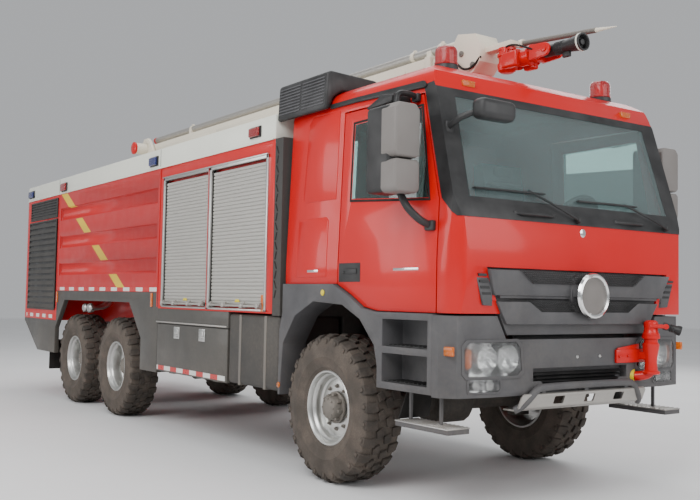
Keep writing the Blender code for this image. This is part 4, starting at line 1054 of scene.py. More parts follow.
# ---- body and chassis ---------------------------------------------------------------
@dataclass
class Shell:
    """Frame nodes whose shape stays, each with a finish and rounded edges."""

    width: float = 0.008

    def build(self) -> None:
        """Stands a finished skin in for each node."""
        wide, thin = 0.012, 0.004
        plan = (
            ("frame_rails", CHASSIS, "chassis", 0.006),
            ("engine_block", CHASSIS, "chassis", 0.01),
            ("front_axle", CHASSIS, "chassis", 0.008),
            ("rear_bogie", CHASSIS, "chassis", 0.006),
            ("locker_body", RED, "red", thin),
            ("tank_body", TANK_RED, "red", 0.0),
            ("pump_body", RED, "red", thin),
            ("roof_fascia", WHITE, "off_white", 0.01),
            ("front_bulkhead", DARK_GREY, "dark_grey", thin),
            ("skirt_right", SKIRT_GREY, "dark_grey", wide),
            ("skirt_left", SKIRT_GREY, "dark_grey", wide),
            ("flap_door_right", SKIRT_GREY, "dark_grey", thin),
            ("flap_door_left", SKIRT_GREY, "dark_grey", thin),
            ("rear_ladder", SILVER, "silver", 0.006),
            ("fuel_tank", DARK_GREY, "dark_grey", 0.0),
            ("battery_box", DARK_GREY, "dark_grey", 0.0),
            ("cab_shell", RED, "red", 0.02),
            ("windscreen", SCREEN, "glass", 0.0),
            ("door_right", RED, "red", thin),
            ("door_left", RED, "red", thin),
            ("door_glass_right", WINDOW, "glass", 0.0),
            ("door_glass_left", WINDOW, "glass", 0.0),
            ("dashboard", BLACK, "black_plastic", 0.02),
            ("grille", GREY, "grey_plastic", 0.008),
            ("wheel_arch_right", GREY, "grey_plastic", 0.01),
            ("wheel_arch_left", GREY, "grey_plastic", 0.01),
            ("air_intake", BLACK, "black_plastic", 0.02),
            ("steering_knuckle_right", CHASSIS, "chassis", 0.005),
            ("steering_knuckle_left", CHASSIS, "chassis", 0.005),
            ("boom_turret", BOOM_WHITE, "off_white", 0.008),
            ("outer_boom", BOOM_WHITE, "off_white", 0.008),
            ("inner_boom", BOOM_WHITE, "off_white", 0.005),
            ("lift_cylinder_barrel", BOOM_WHITE, "off_white", 0.004),
            ("lift_cylinder_rod", CHROME, "silver", 0.0),
        )
        for node, finish, slot, width in plan:
            Yard.refine(node, finish, slot, width)


# ---- superstructure -----------------------------------------------------------------
@dataclass
class Shutters:
    """Roller shutters of the locker: frame, slats, lift bars and seals."""

    face: float = 1.262
    curtain: float = 1.232
    front_aft: float = 0.89
    rear_aft: float = 3.10
    post_aft: Flat = (1.975, 2.045)
    bottom: float = 1.30
    top: float = 2.668
    rail: float = 0.035
    pitch: float = 0.034

    def slats(self, low_y: float, high_y: float) -> Piece:
        """Interlocking curved slats of one curtain, as one drawn section."""
        back = -self.curtain + 0.012
        points = [(back, self.bottom + 0.05)]
        count = int((self.top - self.bottom - 0.09) / self.pitch)
        for index in range(count):
            z = self.bottom + 0.05 + index * self.pitch
            shape = ((0.0, 0.0), (0.0, 0.003), (0.0065, 0.006), (0.009, 0.018), (0.0065, 0.031))
            points += [(-self.curtain - out, z + up) for out, up in shape]
        points.append((-self.curtain, self.bottom + 0.05 + count * self.pitch))
        points.append((back, points[-1][1]))
        return Bench.prism(points, low_y, high_y, Axis.Y)

    def frame_bars(self) -> Piece:
        """Outer frame, middle post and drip rail."""
        front, rear = aft(self.front_aft), aft(self.rear_aft)
        out, back = -self.face, -self.curtain + 0.02
        r = self.rail
        bars = [
            Bench.block((out, front, self.bottom), (back, front + r, self.top), 0.004),
            Bench.block((out, rear - r, self.bottom), (back, rear, self.top), 0.004),
            Bench.block((out, front, self.top - r), (back, rear, self.top), 0.004),
            Bench.block((out - 0.012, front, self.top - 0.008), (back, rear, self.top + 0.006), 0.003),
            Bench.block((out, front, self.bottom), (back, rear, self.bottom + 0.018), 0.004),
        ]
        low, high = (aft(value) for value in self.post_aft)
        bars.append(Bench.block((out, low, self.bottom), (back, high, self.top), 0.004))
        return Bench.join(*bars)

    def seals(self) -> Piece:
        """Black brush seals along the rails."""
        out, back = -self.curtain - 0.012, -self.curtain + 0.01
        edges = (
            aft(self.front_aft) + self.rail,
            aft(self.post_aft[0]) - 0.016,
            aft(self.post_aft[1]),
            aft(self.rear_aft) - self.rail - 0.016,
        )
        strips = [
            Bench.block((out, y, self.bottom + 0.02), (back, y + 0.016, self.top - self.rail), 0.003)
            for y in edges
        ]
        return Bench.join(*strips)

    def lift_bar(self, low_y: float, high_y: float) -> Piece:
        """Round lift bar with end brackets and two hooks."""
        z = self.bottom + 0.045
        x = -self.face - 0.022
        parts = [Bench.drum((x, low_y + 0.03, z), (x, high_y - 0.03, z), 0.011, sides=16, round_by=0.002)]
        for y in (low_y + 0.06, (low_y * 2 + high_y) / 3, (low_y + high_y * 2) / 3, high_y - 0.06):
            parts.append(Bench.block((x - 0.015, y - 0.022, z - 0.02), (-self.curtain, y + 0.022, z + 0.02), 0.005))
            hook = [(x - 0.02, z), (x - 0.006, z + 0.03), (x + 0.014, z + 0.034), (x + 0.02, z - 0.02)]
            parts.append(Bench.prism(hook, y - 0.05, y - 0.03, Axis.Y, 0.002))
        return Bench.join(*parts)

    def build(self) -> None:
        """Models the right side and mirrors it."""
        spans = (
            (aft(self.front_aft) + self.rail, aft(self.post_aft[0])),
            (aft(self.post_aft[1]), aft(self.rear_aft) - self.rail),
        )
        slot = "silver"
        Yard.pair(self.frame_bars(), "shutter_frame_{}", "truck", SILVER, slot, ["roller_shutters_{}"])
        for word, (low, high) in zip(("front", "rear"), spans):
            Yard.pair(self.slats(low, high), f"shutter_{word}_{{}}", "truck", SHUTTER, slot, angle=50.0)
            Yard.pair(self.lift_bar(low, high), f"lift_bar_{word}_{{}}", "truck", WORN_SILVER, slot)
            y = (low + high) / 2 - 0.02
            tag = Bench.prism(
                [(y - 0.05, 1.375), (y + 0.05, 1.375), (y + 0.03, 1.40), (y - 0.03, 1.40)],
                -self.curtain - 0.012, -self.curtain - 0.009, Axis.X, 0.001)
            Yard.pair(tag, f"shutter_tag_{word}_{{}}", "truck", YELLOW, slot)
        Yard.pair(self.seals(), "shutter_seals_{}", "truck", SEAL, "black_plastic")
        post = aft(sum(self.post_aft) / 2)
        line = Bench.block((-self.face - 0.003, post + 0.006, self.bottom), (-self.face, post + 0.016, self.top), 0.001)
        Yard.pair(line, "shutter_post_line_{}", "truck", RED, "red")


@dataclass
class Sides:
    """Louvres, lamps, tapes and latches on the sides of the body."""

    wall: float = 1.25

    def louvre(self, low_y: float, high_y: float, low_z: float, high_z: float, count: int) -> tuple[Piece, Piece]:
        """Louvred panel: a frame with blades, and the dark plate behind them."""
        x = -self.wall
        edge = 0.022
        outer = Bench.block((x - 0.014, low_y, low_z), (x - 0.0004, high_y, high_z), 0.004)
        hole = Bench.block((x - 0.1, low_y + edge, low_z + edge), (x + 0.1, high_y - edge, high_z - edge))
        Bench.carve(outer, hole)
        step = (high_z - low_z - 2 * edge) / count
        blades = [outer]
        for index in range(count):
            z = low_z + edge + index * step
            section = [
                (x - 0.013, z + step * 0.06),
                (x - 0.016, z + step * 0.14),
                (x - 0.015, z + step * 0.34),
                (x - 0.001, z + step * 0.80),
                (x - 0.001, z + step * 0.52),
            ]
            blades.append(Bench.prism(section, low_y + edge - 0.002, high_y - edge + 0.002, Axis.Y))
        plate = Bench.block((x - 0.0035, low_y + 0.01, low_z + 0.01), (x - 0.0005, high_y - 0.01, high_z - 0.01), 0.001)
        return Bench.join(*blades), plate

    def marker(self, low_y: float, high_y: float, low_z: float, high_z: float) -> tuple[Piece, Piece]:
        """Marker lamp: dark base and domed lens."""
        x = -self.wall
        base = Bench.block((x - 0.014, low_y - 0.012, low_z - 0.010), (x - 0.0004, high_y + 0.012, high_z + 0.010), 0.006)
        lens = Bench.block((x - 0.036, low_y, low_z), (x - 0.013, high_y, high_z), 0.012, 4)
        return base, lens

    def reflector(self, y: float, z: float) -> Piece:
        """Slim upright reflector with rounded ends."""
        x = -self.wall
        return Bench.block((x - 0.013, y - 0.022, z - 0.075), (x - 0.0004, y + 0.022, z + 0.075), 0.012, 4)

    def latch(self, y: float) -> Piece:
        """Paddle latch: dished plate, paddle and keyhole boss."""
        x, z = -self.wall, 1.045
        plate = Bench.block((x - 0.004, y - 0.065, z - 0.06), (x + 0.004, y + 0.065, z + 0.06), 0.002)
        dish = Bench.block((x - 0.02, y - 0.050, z - 0.045), (x - 0.001, y + 0.050, z + 0.045), 0.0)
        Bench.carve(plate, dish)
        paddle = Bench.block((x - 0.009, y - 0.042, z - 0.012), (x + 0.002, y + 0.042, z + 0.036), 0.003)
        boss = Bench.drum((x, y, z - 0.028), (x - 0.010, y, z - 0.028), 0.011, sides=20, round_by=0.002)
        return Bench.join(plate, paddle, boss)

    def coupling(self, y: float, z: float, size: float) -> Piece:
        """Hose coupling with a capped end and two claws."""
        start, end = -self.wall + 0.16, -self.wall + 0.02
        profile = [
            (0.0, 0.0),
            (size * 0.55, 0.0),
            (size * 0.60, 0.06),
            (size * 0.95, 0.07),
            (size, 0.085),
            (size, 0.115),
            (size * 0.90, 0.125),
            (size * 0.80, 0.140),
            (0.0, 0.140),
        ]
        body = Bench.lathe(profile, (start, y, z), (end - start, 0, 0), steps=32)
        claws = []
        for index in range(4):
            claw = Bench.block((end + 0.01, y - 0.012, z + size * 0.92), (end + 0.05, y + 0.012, z + size * 1.14), 0.004)
            claws.append(Bench.turned(claw, (start, y, z), (1, 0, 0), math.tau * index / 4 + 0.5))
            bpy.data.objects.remove(claw)
        stub = Bench.tube([(start - 0.01, y, z), (start + 0.10, y, z), (start + 0.16, y, z + 0.08)], size * 0.5)
        return Bench.join(body, stub, *claws)

    def build(self) -> None:
        """Models each fitting and mirrors it."""
        for word, spot, count in (
            ("upper", (6.70, 7.95, 2.475, 2.745), 6),
            ("lower", (6.72, 8.00, 1.185, 2.455), 15),
        ):
            low_y, high_y, low_z, high_z = spot
            blades, plate = self.louvre(aft(low_y), aft(high_y), low_z, high_z, count)
            Yard.pair(blades, f"louvre_{word}_{{}}", "truck", DARK_GREY, "dark_grey")
            Yard.pair(plate, f"louvre_back_{word}_{{}}", "truck", BLACK, "black_plastic")
        lamps = (
            ("front", 1.045, 1.22, 2.845, 2.925, RED_LENS),
            ("blue_front", 3.285, 3.475, 2.830, 2.920, BLUE_LENS),
            ("rear", 6.34, 6.545, 2.818, 2.918, RED_LENS),
            ("blue_rear", 7.85, 8.065, 2.838, 2.930, BLUE_LENS),
        )
        for word, low_y, high_y, low_z, high_z, lens_finish in lamps:
            base, lens = self.marker(aft(low_y), aft(high_y), low_z, high_z)
            Yard.pair(base, f"marker_base_{word}_{{}}", "truck", BLACK, "black_plastic")
            Yard.pair(lens, f"marker_lens_{word}_{{}}", "truck", lens_finish, "red")
        # The reflectors take the amber lens finish, so they glow faintly: painted light, since a reflector is no lamp.
        for index, (y, z) in enumerate(((0.945, 1.37), (3.35, 1.37), (6.61, 1.37))):
            Yard.pair(self.reflector(aft(y), z), f"reflector_{index}_{{}}", "truck", AMBER, "red")
        tapes = (
            ("upper", 3.23, 6.64, 1.462, 1.505, UPPER_TAPE, "truck"),
            ("rear", 6.76, 8.05, 1.075, 1.125, REAR_TAPE, "truck"),
            ("flap", 1.615, 3.17, 0.645, 0.690, LOWER_TAPE, "flap_{}_body"),
        )
        for word, low_y, high_y, low_z, high_z, tape, body in tapes:
            strip = Bench.block((-self.wall - 0.0022, aft(low_y), low_z), (-self.wall - 0.0004, aft(high_y), high_z), 0.0005, 1)
            Yard.pair(strip, f"tape_{word}_{{}}", body, tape, "off_white")
        for index, y in enumerate((2.115, 2.695)):
            Yard.pair(self.latch(aft(y)), f"flap_latch_{index}_{{}}", "flap_{}_body", SILVER, "silver")
        trim = Bench.block((-self.wall - 0.007, aft(1.60), 1.137), (-self.wall - 0.0004, aft(3.21), 1.152), 0.003)
        Yard.pair(trim, "flap_trim_{}", "truck", WORN_SILVER, "silver")
        for index, (y, size) in enumerate(((5.42, 0.056), (5.60, 0.050))):
            Yard.pair(self.coupling(aft(y), 1.245, size), f"coupling_{index}_{{}}", "truck", SILVER, "silver")
        self.column_slits()
        self.seams()

    def column_slits(self) -> None:
        """Dark slits that zigzag down the column ahead of the shutters."""
        front, rear = aft(0.69), aft(0.80)
        centre = (front + rear) / 2
        slits = []
        for index in range(16):
            z = 1.42 + index * 0.082
            lean = 0.014 if index % 2 else -0.014
            points = [
                (centre - 0.012 - lean, z),
                (centre + 0.006 - lean, z),
                (centre + 0.012 + lean, z + 0.066),
                (centre - 0.006 + lean, z + 0.066),
            ]
            slits.append(Bench.prism(points, -self.wall - 0.0025, -self.wall - 0.0004, Axis.X, 0.001))
        Yard.pair(Bench.join(*slits), "column_slits_{}", "truck", SEAL, "black_plastic")

    def seams(self) -> None:
        """Joint covers where the body sections meet, a drip rail, and joint lines on the fascia."""
        covers = []
        for y, low, high in ((3.21, 1.30, 2.78), (6.66, 1.30, 2.78)):
            covers.append(Bench.block((-self.wall - 0.004, aft(y) - 0.012, low), (-self.wall - 0.0004, aft(y) + 0.012, high), 0.0015))
        Yard.pair(Bench.join(*covers), "body_seams_{}", "truck", TANK_RED, "red")
        lip = Bench.prism(
            [(-self.wall - 0.012, 2.782), (-self.wall - 0.0004, 2.782), (-self.wall - 0.0004, 2.802), (-self.wall - 0.004, 2.798)],
            aft(0.82), aft(8.14), Axis.Y, 0.001)
        Yard.pair(lip, "drip_rail_{}", "truck", WHITE, "off_white")
        joints = []
        for y in (3.215, 6.66):
            joints.append(Bench.block((-self.wall - 0.0015, aft(y) - 0.004, 2.805), (-self.wall - 0.0003, aft(y) + 0.004, 2.99), 0.0005))
        Yard.pair(Bench.join(*joints), "fascia_joints_{}", "truck", SEAL, "black_plastic")


@dataclass
class Rear:
    """Lamps, plates and doors on the back of the truck."""

    face: float = aft(8.156)

    def lamp(self, x: float, z: float) -> tuple[Piece, Piece]:
        """Rear lamp cluster: housing and three lenses."""
        y = self.face
        house = Bench.block((x - 0.13, y + 0.0004, z - 0.065), (x + 0.13, y + 0.030, z + 0.065), 0.012, 3)
        lenses = []
        for index in range(3):
            middle_x = x - 0.082 + index * 0.082
            lenses.append(Bench.drum((middle_x, y + 0.028, z), (middle_x, y + 0.044, z), 0.036, 0.030, 28, 0.004))
        return house, Bench.join(*lenses)

    def door(self) -> Piece:
        """Pump door in the middle of the back: panel, frame and ribs."""
        y = self.face
        panel = Bench.block((-0.66, y + 0.0004, 1.35), (0.66, y + 0.018, 2.62), 0.008)
        field = Bench.block((-0.58, y + 0.012, 1.43), (0.58, y + 0.1, 2.54), 0.0)
        Bench.carve(panel, field)
        rib = Bench.block((-0.50, y + 0.006, 1.60), (0.50, y + 0.016, 1.66), 0.004)
        ribs = [Bench.moved(rib, 0, 0, 0.27 * index) for index in range(4)]
        bpy.data.objects.remove(rib)
        return Bench.join(panel, *ribs)

    def build(self) -> None:
        """Models the back of the truck."""
        y = self.face
        Yard.set(self.door(), "rear_door", "truck", RED, "red")
        handle = Bench.join(
            Bench.block((0.30, y + 0.0125, 1.86), (0.48, y + 0.020, 1.98), 0.004),
            Bench.block((0.34, y + 0.018, 1.93), (0.44, y + 0.034, 1.96), 0.006),
        )
        Yard.set(handle, "rear_door_handle", "truck", BLACK, "black_plastic")
        house, lens = self.lamp(-1.06, 0.98)
        Yard.pair(house, "tail_lamp_{}", "truck", BLACK, "black_plastic")
        Yard.pair(lens, "tail_lens_{}", "truck", RED_LENS, "red")
        base = Bench.block((-1.16, y + 0.0004, 2.60), (-0.98, y + 0.016, 2.70), 0.006)
        glass = Bench.block((-1.15, y + 0.014, 2.61), (-0.99, y + 0.036, 2.69), 0.012, 4)
        Yard.pair(base, "rear_marker_base_{}", "truck", BLACK, "black_plastic")
        Yard.pair(glass, "rear_marker_lens_{}", "truck", RED_LENS, "red")


@dataclass
class Roof:
    """Roof deck fittings behind the cab: hatches."""

    deck: float = 2.83

    def build(self) -> None:
        """Models the hatches on the deck."""
        low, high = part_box("roof_fascia")
        top = self.deck
        for index, y in enumerate((4.3, 5.9)):
            rim = Bench.lathe(
                [(0.0, 0.0), (0.26, 0.0), (0.26, 0.035), (0.245, 0.045), (0.20, 0.050), (0.0, 0.060)],
                (-0.62, aft(y), top), (0, 0, 1), steps=40)
            grip = Bench.tube([(-0.72, aft(y), top + 0.05), (-0.70, aft(y), top + 0.10), (-0.54, aft(y), top + 0.10), (-0.52, aft(y), top + 0.05)], 0.010)
            Yard.set(Bench.join(rim, grip), f"roof_hatch_{index}", "truck", SILVER, "silver")


# ---- cab ----------------------------------------------------------------------------
class Probe:
    """Finds the frame's surface, so that fittings sit on it."""

    FRONT = ("windscreen", "cab_shell", "grille", "bumper")

    trees: dict[str, BVHTree] = {}

    @staticmethod
    def cast(start: Point, run: Point, nodes: Sequence[str]) -> Vector | None:
        """Nearest point of some nodes along a ray.

        Args:
            start: Where the ray starts.
            run: Direction of the ray.
            nodes: Frame nodes that it may hit.

        Returns:
            The point, or None where the ray misses them all.
        """
        found = []
        for node in nodes:
            if node not in Probe.trees:
                mesh = frame["nodes"][node].data
                points = [vertex.co for vertex in mesh.vertices]
                faces = [tuple(face.vertices) for face in mesh.polygons]
                Probe.trees[node] = BVHTree.FromPolygons(points, faces)
            spot, _, _, distance = Probe.trees[node].ray_cast(Vector(start), Vector(run))
            if spot is not None:
                found.append((distance, spot))
        return min(found, key=lambda pair: pair[0])[1] if found else None

    @staticmethod
    def front(x: float, z: float, nodes: Sequence[str] = FRONT) -> float:
        """Y of the foremost surface at a place seen from the front."""
        spot = Probe.cast((x, -9.0, z), (0.0, 1.0, 0.0), nodes)
        return spot.y if spot else aft(-1.5)

    @staticmethod
    def side(y: float, z: float, nodes: Sequence[str]) -> float:
        """X of the outermost surface on the right side."""
        spot = Probe.cast((-4.0, y, z), (1.0, 0.0, 0.0), nodes)
        return spot.x if spot else -1.22


class Trim:
    """Thin shaped parts that follow the cab's surface."""

    @staticmethod
    def front_plate(outline: Sequence[Flat], proud: float, depth: float,
                    nodes: Sequence[str] = Probe.FRONT, round_by: float = 0.002,
                    height: float | None = None) -> Piece:
        """Plate that follows the front in plan.

        Args:
            outline: Corners as (x, z).
            proud: How far its face stands off the surface.
            depth: Thickness.
            nodes: Frame nodes that it follows.
            round_by: Width of the rounded edges.
            height: Where the surface is read, if not at its middle.

        Returns:
            The new piece.
        """
        xs = [x for x, _ in outline]
        zs = [z for _, z in outline]
        mid = height or (min(zs) + max(zs)) / 2
        steps = max(2, int((max(xs) - min(xs)) / 0.05))
        across = [min(xs) + (max(xs) - min(xs)) * i / steps for i in range(steps + 1)]
        line = [(x, Probe.front(x, mid, nodes) - proud) for x in across]
        back = [(x, y + depth) for x, y in reversed(line)]
        slab = Bench.prism(line + back, min(zs) - 0.01, max(zs) + 0.01, Axis.Z)
        ys = [y for _, y in line + back]
        mask = Bench.prism(outline, min(ys) - 0.05, max(ys) + 0.05, Axis.Y)
        Bench.carve(slab, mask, operation="INTERSECT")
        return Bench.rounded(slab, round_by, 2, 40.0) if round_by else slab

    @staticmethod
    def side_plate(outline: Sequence[Flat], proud: float, depth: float,
                   hole: Sequence[Flat] = (), round_by: float = 0.002) -> Piece:
        """Plate that follows the leaning side of the cab.

        Args:
            outline: Corners as (y, z).
            proud: How far its face stands off the surface.
            depth: Thickness.
            hole: Corners of an opening in it.
            round_by: Width of the rounded edges.

        Returns:
            The new piece.
        """
        ys = [y for y, _ in outline]
        low, high = min(z for _, z in outline) - 0.01, max(z for _, z in outline) + 0.01
        heights = [low, high] if low > 1.69 or high < 1.69 else [low, 1.69, high]
        face = [(Trim.lean(z) - proud, z) for z in heights]
        back = [(x + depth, z) for x, z in reversed(face)]
        slab = Bench.prism(face + back, min(ys) - 0.01, max(ys) + 0.01, Axis.Y)
        Bench.carve(slab, Bench.prism(outline, -1.6, -0.9, Axis.X), operation="INTERSECT")
        if hole:
            Bench.carve(slab, Bench.prism(hole, -1.7, -0.8, Axis.X))
        return Bench.rounded(slab, round_by, 2, 40.0) if round_by else slab

    @staticmethod
    def lean(z: float) -> float:
        """X of the cab's right side at a height."""
        return -(1.22 - 0.04 * max(0.0, z - 1.69))

    @staticmethod
    def grown(points: Sequence[Flat], by: float) -> list[Flat]:
        """Outline moved out from its middle by about a distance."""
        u0 = sum(u for u, _ in points) / len(points)
        v0 = sum(v for _, v in points) / len(points)
        return [(u + math.copysign(by, u - u0), v + math.copysign(by, v - v0)) for u, v in points]


@dataclass
class CabBody:
    """Cab shell trims: pillars, cowl, gutters, seals, handles and hatch."""

    def surround(self) -> Piece:
        """Dark surround of the windscreen, drawn off the shell itself."""
        side = [
            (aft(-1.70), 1.985),
            (aft(-1.47), 1.985),
            (aft(-1.40), 2.05),
            (aft(-1.335), 2.11),
            (aft(-1.325), 2.14),
            (aft(-1.115), 2.868),
            (aft(-1.09), 2.92),
            (aft(-1.20), 2.93),
            (aft(-1.235), 2.87),
            (aft(-1.70), 2.87),
        ]
        skin = Bench.from_node("cab_shell")
        Bench.apply(skin, "DISPLACE", strength=0.004, mid_level=0.0, direction="NORMAL")
        return Bench.carve(skin, Bench.prism(side, -1.4, 1.4, Axis.X), operation="INTERSECT")

    def window(self) -> list[Flat]:
        """Side view of the door's window."""
        rear, front = aft(-0.29), aft(-1.195)
        return [(rear, 2.185), (rear, 2.755), (front + 0.115, 2.765), (front, 2.125)]

    def door_trims(self) -> None:
        """Window seal, handle and badge plate of the doors."""
        window = self.window()
        seal = Trim.side_plate(Trim.grown(window, 0.022), 0.005, 0.020, Trim.grown(window, -0.006))
        Yard.pair(seal, "window_seal_{}", "door_{}_body", SEAL, "black_plastic")
        handle = [(aft(-0.43), 1.565), (aft(-0.175), 1.565), (aft(-0.175), 1.685), (aft(-0.43), 1.685)]
        hole = Trim.grown(handle, -0.022)
        bezel = Trim.side_plate(handle, 0.007, 0.022, hole, 0.004)
        dish = Trim.side_plate(Trim.grown(handle, -0.012), 0.0015, 0.010)
        grip = Bench.block((-1.229, aft(-0.40), 1.612), (-1.214, aft(-0.26), 1.655), 0.006, 3)
        lock = Bench.drum((-1.215, aft(-0.225), 1.625), (-1.226, aft(-0.225), 1.625), 0.013, sides=20, round_by=0.002)
        Yard.pair(Bench.join(bezel, dish, grip, lock), "door_handle_{}", "door_{}_body", BLACK, "black_plastic")
        plate = Trim.side_plate([(aft(0.13), 1.632), (aft(0.29), 1.632), (aft(0.29), 1.652), (aft(0.13), 1.652)], 0.004, 0.008)
        Yard.pair(plate, "side_badge_{}", "truck", CHROME, "silver")
        name = Trim.side_plate([(aft(-1.12), 1.632), (aft(-0.84), 1.632), (aft(-0.84), 1.650), (aft(-1.12), 1.650)], 0.004, 0.008)
        Yard.pair(name, "door_badge_{}", "door_{}_body", CHROME, "silver")

    def hatch(self) -> None:
        """Pressed hatch low on the rear side, and the raised field above it."""
        low = [(aft(0.02), 1.60), (aft(0.44), 1.60), (aft(0.44), 2.03), (aft(0.41), 2.06), (aft(0.05), 2.06), (aft(0.02), 2.03)]
        ring = Trim.side_plate(low, 0.0012, 0.006, round_by=0.0)
        Yard.pair(ring, "hatch_line_{}", "truck", SEAL, "black_plastic")
        leaf = Trim.side_plate(Trim.grown(low, -0.007), 0.0035, 0.012, round_by=0.002)
        Yard.pair(leaf, "hatch_leaf_{}", "truck", RED, "red")
        high = [(aft(-0.08), 2.20), (aft(0.36), 2.20), (aft(0.40), 2.24), (aft(0.36), 2.86), (aft(0.31), 2.90), (aft(-0.08), 2.90)]
        field = Trim.side_plate(high, 0.004, 0.012, round_by=0.004)
        Yard.pair(field, "side_field_{}", "truck", RED, "red")

    def gutters(self) -> None:
        """Black gutter strips over the doors."""
        line = [(aft(0.05), 2.930), (aft(-0.30), 2.928), (aft(-1.12), 2.895), (aft(-1.135), 2.915), (aft(-1.10), 2.950), (aft(-0.30), 2.968), (aft(0.05), 2.968)]
        strip = Trim.side_plate(line, 0.016, 0.030, round_by=0.005)
        Yard.pair(strip, "gutter_{}", "truck", BLACK, "black_plastic")

    def cowl(self) -> None:
        """Grab handles and clearance lamps on the front."""
        for index, (low, high) in enumerate(((-0.656, -0.278), (0.408, 0.718))):
            z = 2.035
            front = Probe.front((low + high) / 2, z)
            points = [(low, front + 0.01, z), (low + 0.02, front - 0.035, z), (high - 0.02, front - 0.035, z), (high, front + 0.01, z)]
            grip = Bench.tube(points, 0.011)
            feet = [Bench.block((x - 0.022, front - 0.006, z - 0.018), (x + 0.022, front + 0.02, z + 0.018), 0.005) for x in (low, high)]
            Yard.set(Bench.join(grip, *feet), f"cowl_handle_{index}", "truck", BLACK, "black_plastic")
        for index, (low, high, z) in enumerate(((-0.915, -0.80, 2.955), (0.80, 0.915, 2.955))):
            plate = Trim.front_plate([(low, z - 0.022), (high, z - 0.022), (high, z + 0.022), (low, z + 0.022)], 0.018, 0.03, round_by=0.006)
            Yard.set(plate, f"clearance_lamp_{index}", "truck", AMBER, "red")

    def wipers(self) -> None:
        """Two wipers, with blades that lie along the foot of the screen."""
        sets = (
            ((-1.02, 2.185), (-0.346, 2.193), (-0.512, 2.205), (-0.046, 2.02)),
            ((0.004, 2.169), (0.669, 2.173), (0.52, 2.178), (0.979, 2.02)),
        )
        for index, (start, end, grip, pivot) in enumerate(sets):
            blade, spine = [], []
            for step in range(9):
                share = step / 8
                x = start[0] + (end[0] - start[0]) * share
                z = start[1] + (end[1] - start[1]) * share
                y = Probe.front(x, z)
                blade.append((x, y - 0.008, z))
                spine.append((x, y - 0.026 - 0.012 * math.sin(math.pi * share), z))
            arm = []
            for step in range(6):
                share = step / 5
                x = pivot[0] + (grip[0] - pivot[0]) * share
                z = pivot[1] + (grip[1] - pivot[1]) * share
                arm.append((x, Probe.front(x, z) - 0.030 - 0.015 * math.sin(math.pi * share), z))
            rubber = Bench.tube(blade, 0.0065, 2)
            back = Bench.tube(spine, 0.008, 2)
            rod = Bench.tube(arm, 0.009, 2)
            foot_y = Probe.front(*pivot)
            knob = Bench.drum((pivot[0], foot_y + 0.01, pivot[1]), (pivot[0], foot_y - 0.045, pivot[1]), 0.024, 0.018, 20, 0.003)
            Yard.set(Bench.join(rubber, back, rod, knob), f"wiper_{index}", "truck", BLACK, "black_plastic")

    def build(self) -> None:
        """Dresses the cab shell."""
        Yard.set(self.surround(), "screen_surround", "truck", BLACK, "black_plastic")
        self.door_trims()
        self.hatch()
        self.gutters()
        self.cowl()
        self.wipers()


